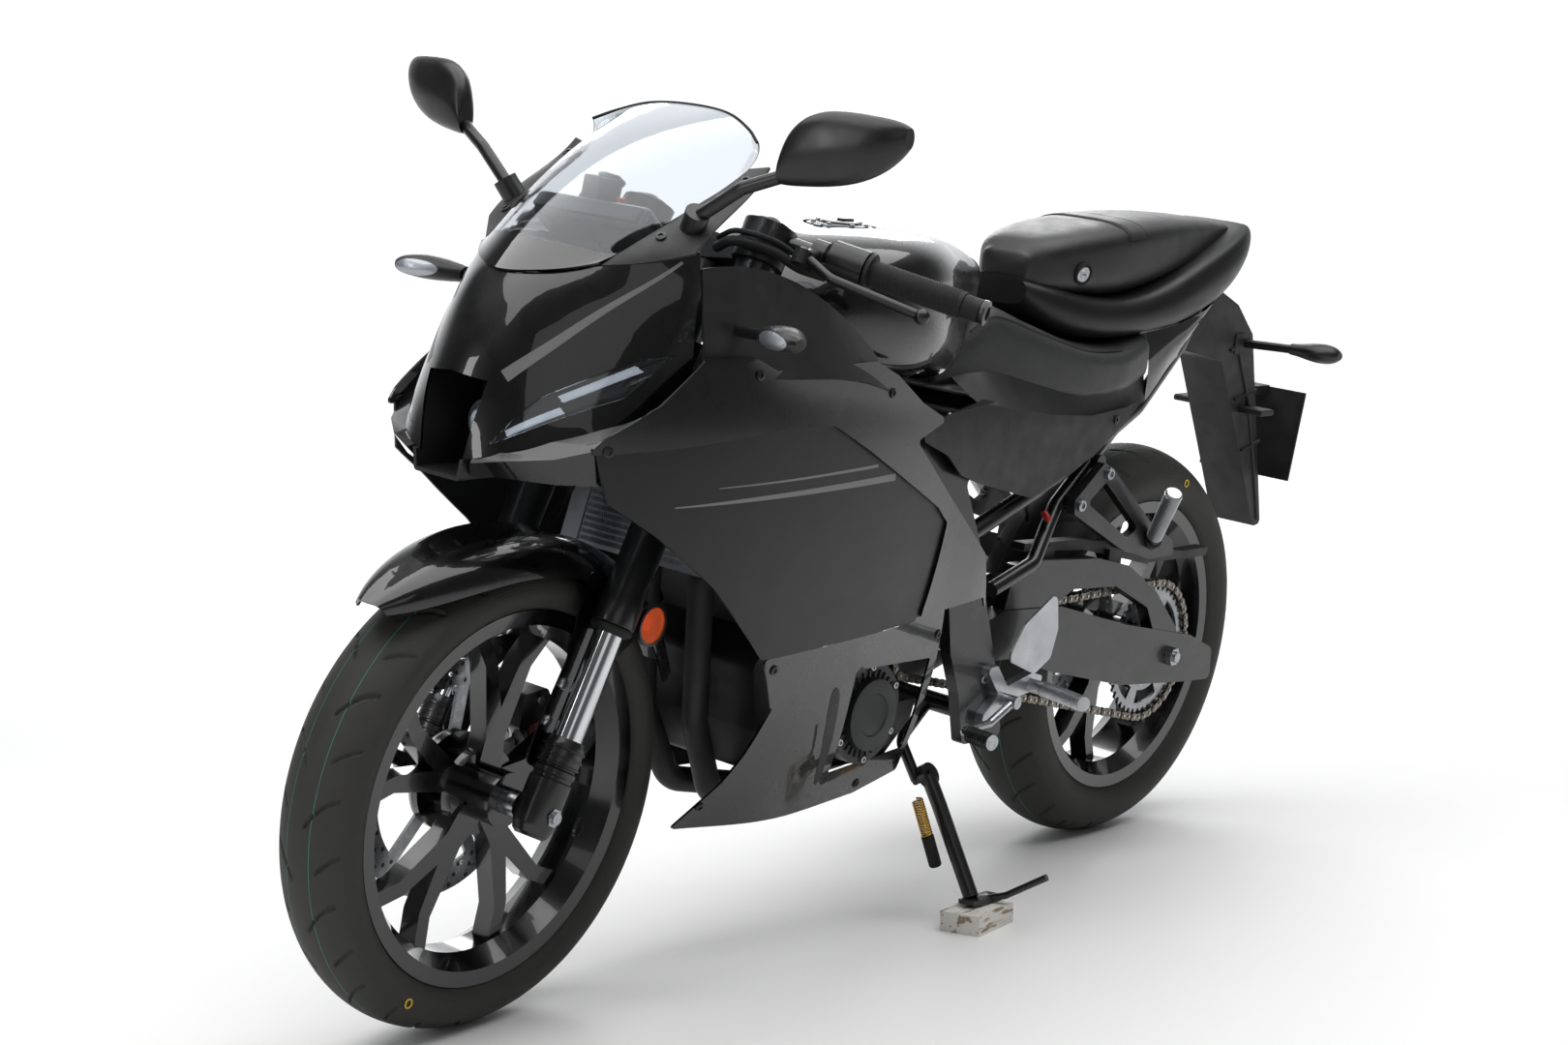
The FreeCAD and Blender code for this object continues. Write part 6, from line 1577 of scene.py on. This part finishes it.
@dataclass
class Instruments(SubAssembly):
    """The display behind the screen, with its hood, a small box on top and a red tab."""

    def build(self) -> None:
        """Everything on the instrument box."""
        bike = self.stance.bike
        turn = math.radians(52)
        up = np.array([math.sin(turn), 0, math.cos(turn)])
        back = np.array([-math.cos(turn), 0, math.sin(turn)])
        centre = np.array([1238.0, 0, 962.0])
        face = standing((0, 1, 0), back, centre + back * 17)
        pane = Shape().join(rounded_box(150, 72, 1.6, 6, 4), face)
        hood = Shape().join(rounded_box(168, 20, 5, 3, 3), placed(centre + up * 46, up))
        box = Shape().join(rounded_box(26, 44, 40, 3, 3), placed((1228, -28, 984), (-0.15, 0, 1)))
        tab = Shape().join(rounded_box(10, 8, 12, 2, 3), placed((1228, 8, 992)))
        self.put(pane, "display_pane", bike, glass_material("display_glass", "#0B0D10", 0.0))
        self.put(hood.join(box), "instrument_hood", bike, Paint.MOULDED)
        self.put(tab, "instrument_tab", bike, Paint.RED_PLASTIC)


@dataclass
class TankTrim(SubAssembly):
    """The filler cap's screws and key flap."""

    centre: np.ndarray = field(default_factory=lambda: np.array([790.0, 0.0, 962.3]))

    def build(self) -> None:
        """All of it turns with the cap."""
        heads, flap = Shape(), Shape()
        for number in range(7):
            turn = 2 * math.pi * number / 7 + 0.25
            spot = self.centre + np.array([35.5 * math.cos(turn), 35.5 * math.sin(turn), 12.0])
            heads.join(bolt_shape(3.2, 2.4), placed(spot))
        flap.join(turned_shape([(27, 10), (27, 13.4), (25, 15), (9, 15.4), (0.1, 15.4)], 40),
                  placed(self.centre))
        flap.join(rounded_box(12, 26, 3.2, 4, 4), placed(self.centre + np.array([-12.0, 0, 15.2])))
        self.put(heads, "cap_screws", self.stance.bike, Paint.ZINC, Body.CAP)
        self.put(flap, "cap_flap", self.stance.bike, Paint.SMOOTH_PLASTIC, Body.CAP)


@dataclass(frozen=True)
class Ring:
    """A cross-section of a pad: a rounded box between two heights."""

    x: float
    middle: float
    low: float
    high: float
    half: float
    power: float

    def points(self, count: int, swell: float = 0.0) -> np.ndarray:
        """The outline: |cos| and |sin| raised to a power square the circle off."""
        angle = 2 * math.pi * (np.arange(count) + 0.5) / count
        across, up = np.cos(angle), np.sin(angle)
        tall = np.where(up > 0, self.high - self.middle, self.middle - self.low) + swell
        y = (self.half + swell) * np.sign(across) * np.abs(across) ** self.power
        z = self.middle + tall * np.sign(up) * np.abs(up) ** self.power
        return np.column_stack([np.full(count, self.x), y, z])


@dataclass
class Seats(SubAssembly):
    """Rider's seat and passenger's pad as stuffed shapes, with seams, strap and lock."""

    rider: tuple[Ring, ...] = (Ring(622, 770, 757, 790, 66, 0.5), Ring(570, 790, 752, 850, 84, 0.5),
                               Ring(526, 800, 742, 874, 96, 0.5), Ring(440, 786, 730, 848, 116, 0.5),
                               Ring(330, 770, 722, 818, 128, 0.5), Ring(230, 772, 730, 812, 126, 0.5),
                               Ring(150, 788, 745, 828, 112, 0.5))
    passenger: tuple[Ring, ...] = (Ring(392, 916, 884, 940, 42, 0.6), Ring(366, 920, 876, 958, 62, 0.6),
                                   Ring(300, 930, 872, 972, 80, 0.6), Ring(200, 940, 872, 984, 90, 0.6),
                                   Ring(72, 950, 892, 992, 84, 0.55), Ring(-60, 962, 925, 990, 66, 0.5),
                                   Ring(-150, 966, 948, 984, 48, 0.5))

    def build(self) -> None:
        """Both pads with what is sewn or set into them."""
        bike = self.stance.bike
        for rings, name, node, paint in (
                (self.rider, "rider_pad", "rider_seat", Paint.VINYL),
                (self.passenger, "passenger_pad", "passenger_seat", Paint.VINYL_PLAIN)):
            piece = self.put(self.pad(rings), name, bike, paint, replaces=[node], smooth=75)
        seams = Shape()
        seams.join(self.seam(self.rider, 5, 0.45))
        seams.join(self.seam(self.rider, 22, 0.45))
        strap = []
        for x, swell in ((196, 0.2), (195, 2.0), (176, 2.4), (157, 2.0), (156, 0.2)):
            ring = self.between(self.passenger, x).points(56, swell)
            strap.append(ring[2:27])
        grid = np.array(strap)
        seams.join(facing(grid, (0, 0, 1)))
        for x in (200, 152):
            line = self.between(self.passenger, x).points(56, 0.6)[2:27]
            seams.join(swept(line, 1.3, 6))
        self.put(seams, "seat_seams", bike, Paint.VINYL_PLAIN)
        skin = Skin(self.nodes, ["passenger_seat"])
        place = seat_on(skin, bike, (372, 132, 922), (-0.77, -0.62, -0.12))
        cup = turned_shape([(16, -3), (17, 1.5), (14.5, 3.4), (12.6, 1.5), (12.4, -3)], 36, True)
        disc = turned_shape([(12.2, -3), (12.2, 1.0), (11, 1.8), (7.4, 1.8), (7.0, 2.4), (0.1, 2.4)], 36)
        slot = Shape().join(rounded_box(8.5, 1.8, 0.5, 0.6, 2), place @ np.array(
            [[1, 0, 0, 0], [0, 1, 0, 0], [0, 0, 1, 2.2], [0, 0, 0, 1.0]]))
        self.put(Shape().join(cup, place), "lock_cup", bike, Paint.RUBBER)
        self.put(Shape().join(disc, place), "lock_disc", bike, Paint.ZINC)
        self.put(slot, "lock_slot", bike, Paint.SMOOTH_PLASTIC)

    @staticmethod
    def between(rings: Sequence[Ring], x: float) -> Ring:
        """The section at x, each size interpolated between the rings."""
        spots = np.array([ring.x for ring in rings])[::-1]
        values = [np.interp(x, spots, [getattr(ring, key) for ring in rings][::-1])
                  for key in ("middle", "low", "high", "half", "power")]
        return Ring(x, *values)

    def seam(self, rings: Sequence[Ring], index: int, swell: float) -> Shape:
        """A raised seam along one line of the sections."""
        line = smooth_path([ring.points(56, swell)[index] for ring in rings[1:-1]], 12)
        return swept(line, 1.2, 6)

    def pad(self, rings: Sequence[Ring], count: int = 56, steps: int = 10) -> Shape:
        """A smooth closed body through the sections, its ends drawn together in rounded steps."""
        spots = np.array([ring.points(count) for ring in rings])
        rows = smooth_path(spots.reshape(len(rings), -1), steps).reshape(-1, count, 3)
        first, last = rows[0], rows[-1]
        ends = []
        for end, way in ((first, 1), (last, -1)):
            middle = end.mean(0)
            angles = np.linspace(0.2, math.pi / 2 - 0.05, 7)
            caps = [middle + (end - middle) * math.cos(a) + np.array([9.0 * way * math.sin(a), 0, 0])
                    for a in angles]
            ends.append(caps if way < 0 else caps[::-1])
        return grid_shape(np.array(ends[0] + list(rows) + ends[1]), closed_columns=True, caps=True)


@dataclass
class TailTrim(SubAssembly):
    """The blank plate, the lenses of the indicators and a red cap by the seat rail."""

    def build(self) -> None:
        """Everything behind the seats."""
        bike = self.stance.bike
        lean = math.radians(8)
        rear = np.array([-math.cos(lean), 0, -math.sin(lean)])
        face = standing((0, 1, 0), rear, np.array([-404.0, 0, 630.0]) + rear * 4)
        plate = Shape().join(rounded_box(164, 144, 1.2, 8, 4), face)
        self.put(plate, "blank_plate", bike, Paint.PLATE_WHITE)
        red = Shape().join(turned_shape([(4.5, 0), (5, 1), (5, 15), (3.5, 17), (0.1, 17)], 16),
                           placed((404, 124, 578), (-0.2, 0.6, -0.76)))
        self.put(red, "wire_cap", bike, Paint.RED_PLASTIC)
        skin = Skin(self.nodes, ["indicators"])
        mirrors, lenses = Shape(), Shape()
        angles = np.linspace(0, 2 * math.pi, 28, endpoint=False)
        for side in (1, -1):
            outline = np.column_stack([np.full(28, 1400.0), side * (292 + 27 * np.cos(angles)),
                                       879 + 9.0 * np.sin(angles)])
            mirrors.join(patch(skin, bike, outline, (-1, 0, 0), 0.5))
            lenses.join(patch(skin, bike, outline, (-1, 0, 0), 2.6))
        self.put(mirrors, "indicator_mirrors", bike, Paint.BRIGHT_ALLOY)
        self.put(lenses, "indicator_lenses", bike, CLEAR.build())


@dataclass
class TailPanels(SubAssembly):
    """Panels that close the tail under the seats, and the ribs of the plate's hanger."""

    skirt_top: Line = ((600, 72, 774), (560, 82, 784), (526, 90, 788), (440, 109, 776), (330, 121, 762),
                       (230, 119, 764), (165, 106, 780), (143, 101, 800))
    skirt_foot: Line = ((612, 146, 740), (560, 146, 733), (520, 143, 727), (440, 140, 716), (330, 135, 708),
                        (230, 128, 714), (165, 118, 722), (143, 112, 724))
    rail_top: tuple = ((146, 101, 826), (110, 102, 829), (72, 103, 834), (20, 102, 846), (-30, 99, 858),
                       (-72, 92, 880))
    rail_foot: tuple = ((146, 112, 722), (110, 107, 742), (72, 102, 769), (20, 97, 803), (-30, 86, 846),
                        (-72, 74, 882))
    ribs: tuple = ([(-246, 780), (-300, 690), (-346, 590), (-390, 482)], [(-222, 776), (-284, 792)],
                   [(-256, 694), (-325, 706)], [(-302, 606), (-360, 618)])

    def build(self) -> None:
        """Skirts under the rider's seat, rails behind it, ribs and brackets on the hanger."""
        bike = self.stance.bike
        skirts, rails, ribs = Shape(), Shape(), Shape()
        for side in (1, -1):
            for shape, top, foot, swell in ((skirts, self.skirt_top, self.skirt_foot, -3.0),
                                            (rails, self.rail_top, self.rail_foot, 5.0)):
                high, low = smooth_path(top, 8), smooth_path(foot, 8)
                middle = (high + low) / 2 + np.array([0.0, swell, 0.0])
                rows = smooth_path(np.array([high, middle, low]).reshape(3, -1), 5)
                shape.join(facing(on_side(rows.reshape(-1, len(high), 3), side), (0, side, 0)))
            for line in self.ribs:
                track = smooth_path([(x, side * 40.5, z) for x, z in line], 8)
                ribs.join(swept(track, 3.0, 8))
            ribs.join(rounded_box(42, 10, 46, 3, 3), placed((-296, side * 38, 676), (0, side, 0)))
            ribs.join(rounded_box(34, 34, 5, 4, 3), placed((-250, side * 38, 786), (0, side, 0)))
        self.put(skirts, "seat_skirts", bike, Paint.MOULDED)
        self.put(rails, "tail_rails", bike, Paint.GLOSS_BLACK)
        self.put(ribs, "hanger_ribs", bike, Paint.MOULDED)


@dataclass
class Rests(SubAssembly):
    """Pegs' ribs, pivot screws and bracket bolts."""

    bolts: tuple = (((338, 585), 143.0, 9.0), ((271, 627), 143.0, 9.0), ((541, 353), 145.0, 7.0),
                    ((545, 298), 145.0, 7.0), ((426, 334), 145.0, 6.0))

    def build(self) -> None:
        """Silver ribbed pegs on both sides, all bolts and the toe pieces' ribs."""
        bike = self.stance.bike
        silver, heads, toe = Shape(), Shape(), Shape()
        for side in (1, -1):
            start, end = on_side((132.0, 150, 516), side), on_side((168.0, 196, 598), side)
            way = (end - start) / np.linalg.norm(end - start)
            length = np.linalg.norm(end - start)
            profile = [(0.1, 6), (10.6, 6)]
            for height in np.arange(8, length, 3.0):
                base = 10.6 + 1.9 * height / length
                profile += [(base + 1.3, height), (base + 1.3, height + 1.4), (base + 0.2, height + 1.6),
                            (base + 0.2, height + 2.8)]
            profile += [(13.0, length + 2), (11.0, length + 4), (0.1, length + 4)]
            silver.join(turned_shape(profile, 20), placed(start, way))
            line = [(446, 182, 335), (450, 200, 336), (474, 244, 341), (500, 290, 346)]
            peg = smooth_path(on_side(line, side), 10)
            for number in range(4, len(peg) - 1):
                silver.join(turned_shape([(10.1, -1.0), (11.3, -0.7), (11.3, 0.7), (10.1, 1.0)], 18, True),
                            placed(peg[number], peg[number + 1] - peg[number]))
            for (x, z), y, radius in self.bolts:
                heads.join(bolt_shape(radius, 6.0), placed((x, side * y, z), (0, side, 0)))
            way = np.array([656.0 - 646, (250 - 206) * side, 1.0])
            for number in range(9):
                spot = np.array([646.0, 206.0 * side, 303]) + way * (number + 0.5) / 9
                toe.join(turned_shape([(11.0, -1.5), (12.2, -1.0), (12.2, 1.0), (11.0, 1.5)], 18, True),
                         placed(spot, way))
        self.put(silver, "peg_ribs", bike, Paint.BRIGHT_ALLOY, smooth=25)
        self.put(heads, "bracket_bolts", bike, Paint.ZINC)
        self.put(toe, "toe_ribs", bike, Paint.RUBBER, smooth=25)


@dataclass
class StandTrim(SubAssembly):
    """The side stand's spring and rubber sleeve."""

    top: np.ndarray = field(default_factory=lambda: np.array([650.0, 134.0, 192.0]))
    foot: np.ndarray = field(default_factory=lambda: np.array([620.0, 158.0, 96.0]))

    def build(self) -> None:
        """The spring's wire winds round the line between its two eyes."""
        way = self.foot - self.top
        length = np.linalg.norm(way)
        axes = axes_along(way)
        turns = 15
        share = np.linspace(0, 1, turns * 14)
        angle = share * turns * 2 * math.pi
        winding = np.outer(np.cos(angle), axes[:, 0]) + np.outer(np.sin(angle), axes[:, 1])
        coil = self.top + np.outer(share * 0.52 + 0.02, way) + 7.2 * winding
        self.put(swept(coil, 1.5, 6), "stand_spring", self.stance.bike, Paint.BRASS, Body.STAND, smooth=80)
        sleeve = turned_shape([(8.4, length * 0.55), (9.2, length * 0.56), (9.2, length * 0.98),
                               (8.2, length)], 20)
        self.put(Shape().join(sleeve, placed(self.top, way)), "stand_sleeve", self.stance.bike,
                 Paint.RUBBER, Body.STAND)


@dataclass
class TyreMarks(SubAssembly):
    """The small yellow rings on the tyres' walls."""

    def build(self) -> None:
        """One ring on each tyre's left wall."""
        for body, frame, half, radius, turn in ((Body.FRONT_WHEEL, self.stance.front_wheel, 55.6, 262, -1.42),
                                                (Body.REAR_WHEEL, self.stance.rear_wheel, 69.4, 272, 1.9)):
            spot = (radius * math.cos(turn), half, radius * math.sin(turn))
            ring = turned_shape([(4.2, 0.2), (4.4, 1.1), (6.2, 1.1), (6.4, 0.2)], 24, True)
            self.put(Shape().join(ring, placed(spot, (0, 1, 0))), body.value + "_balance_mark", frame,
                     Paint.MARK_YELLOW, body)


KINDS = (Wheels, Chain, Lamps, Nose, SideTrim, ForkTrim, Brakes, RadiatorCore, Bars, MirrorGlass, Instruments,
         TankTrim, Seats, TailTrim, TailPanels, Rests, StandTrim, TyreMarks)


# The room


def view_direction(yaw: float, drop: float) -> Vector:
    """Where the camera looks: yaw degrees about +Z from +X, drop degrees below level."""
    flat = math.cos(math.radians(drop))
    return Vector((math.cos(math.radians(yaw)) * flat, math.sin(math.radians(yaw)) * flat,
                   -math.sin(math.radians(drop))))


def set_camera(place: Sequence[float] = (2.9436, 2.1483, 0.9590), yaw: float = CAMERA_YAW,
               drop: float = 6.319, roll: float = 0.124, lens: float = 60.91) -> None:
    """The photograph's view: three quarters from the front left, at tank height."""
    data = bpy.data.cameras.new("photo_camera")
    data.lens = lens
    data.sensor_width = 36.0
    camera = bpy.data.objects.new("photo_camera", data)
    bpy.context.scene.collection.objects.link(camera)
    turn = view_direction(yaw, drop).to_track_quat("-Z", "Y").to_matrix()
    camera.matrix_world = (turn @ Matrix.Rotation(math.radians(roll), 3, "Z")).to_4x4()
    camera.location = place
    bpy.context.scene.camera = camera


def floor_material() -> bpy.types.Material:
    """A pale studio floor: nearly white, with a soft drift of gloss, and glowing towards the backdrop."""
    material, tree = fresh("pale_floor")
    place = add_node(tree, "ShaderNodeTexCoord").outputs["Object"]
    cloud = add_node(tree, "ShaderNodeTexNoise", {"Vector": place, "Scale": 1.4, "Detail": 5.0})
    rough = add_node(tree, "ShaderNodeMapRange",
                     {"Value": cloud.outputs["Fac"], "To Min": 0.42, "To Max": 0.6})
    tone = add_node(tree, "ShaderNodeMix", {"Factor": cloud.outputs["Fac"], 6: linear("#E6E6E6"),
                                            7: linear("#EDEDEC")}, data_type="RGBA")
    away = add_node(tree, "ShaderNodeVectorMath", {0: place, 1: tuple(view_direction(CAMERA_YAW, 0.0))},
                    operation="DOT_PRODUCT").outputs["Value"]
    lit = add_node(tree, "ShaderNodeMapRange",
                   {"Value": away, "From Min": 0.9, "From Max": 5.0, "To Max": 0.9},
                   interpolation_type="SMOOTHSTEP")
    output(tree, add_node(tree, "ShaderNodeBsdfPrincipled", {
        "Base Color": tone.outputs[2], "Roughness": rough.outputs["Result"], "Specular IOR Level": 0.3,
        "Emission Color": tone.outputs[2], "Emission Strength": lit.outputs["Result"]}))
    return material


def set_floor(reach: float = 40.0) -> None:
    """A flat square floor under the machine."""
    spots = np.linspace(-reach, reach, 9)
    grid = np.array([[[x, y, 0.0] for x in spots] for y in spots])
    floor = facing(grid, (0.0, 0.0, 1.0)).emit("floor", np.eye(4), 60)
    floor.data.materials.append(floor_material())
    floor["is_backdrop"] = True


def set_light(name: str, place: Sequence[float], aim: Sequence[float], size: tuple[float, float],
              power: float) -> None:
    """A white soft box that faces a point."""
    data = bpy.data.lights.new(name, "AREA")
    data.shape = "RECTANGLE"
    data.size, data.size_y = size
    data.energy = power
    lamp = bpy.data.objects.new(name, data)
    bpy.context.scene.collection.objects.link(lamp)
    lamp.matrix_world = (Vector(aim) - Vector(place)).to_track_quat("-Z", "Y").to_matrix().to_4x4()
    lamp.location = place


def set_lights() -> None:
    """A studio: soft boxes overhead, beside the camera, ahead and behind, and a bright backdrop."""
    set_light("overhead", (0.2, 0.3, 4.2), (0.0, 0.0, 0.4), (7.0, 5.0), 300)
    set_light("camera_side", (3.4, 4.6, 2.6), (0.0, 0.0, 0.5), (3.4, 2.2), 15)
    set_light("front", (5.2, -0.8, 2.2), (0.3, 0.0, 0.6), (1.0, 2.6), 45)
    set_light("behind", (-3.6, -3.4, 3.0), (0.0, 0.0, 0.7), (3.0, 1.6), 70)
    world = bpy.data.worlds.new("studio")
    world.use_nodes = True
    tree = world.node_tree
    tree.nodes.clear()
    way = add_node(tree, "ShaderNodeTexCoord").outputs["Generated"]
    ahead = add_node(tree, "ShaderNodeVectorMath", {0: way, 1: tuple(view_direction(CAMERA_YAW, 0.0))},
                     operation="DOT_PRODUCT").outputs["Value"]
    bright = add_node(tree, "ShaderNodeMapRange", {"Value": ahead, "From Min": 0.5, "From Max": 0.93,
                                                   "To Min": 0.12, "To Max": 1.15},
                      interpolation_type="SMOOTHSTEP")
    sky = add_node(tree, "ShaderNodeBackground",
                   {"Color": linear("#F4F5F7"), "Strength": bright.outputs["Result"]})
    add_node(tree, "ShaderNodeOutputWorld", {"Surface": sky.outputs[0]})
    bpy.context.scene.world = world


def note_size() -> dict:
    """The corners of the scene's box as plain lists."""
    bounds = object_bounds()
    return json.loads(json.dumps(bounds, default=lambda value: [float(v) for v in value]))


def main() -> None:
    """Loads the frame, dresses it and reports each piece."""
    logging.basicConfig(level=logging.INFO, format="%(message)s")
    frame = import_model()
    sizes = {"loaded": note_size()}
    stance = Stance.from_joints(frame["joints"])
    nodes = frame["nodes"]
    finish_nodes(nodes, stance)
    for kind in KINDS:
        kind(stance, nodes).build()
    set_floor()
    set_lights()
    set_camera()
    bpy.context.scene.view_settings.view_transform = "Standard"
    sizes["dressed"] = note_size()


if __name__ == "__main__":
    main()
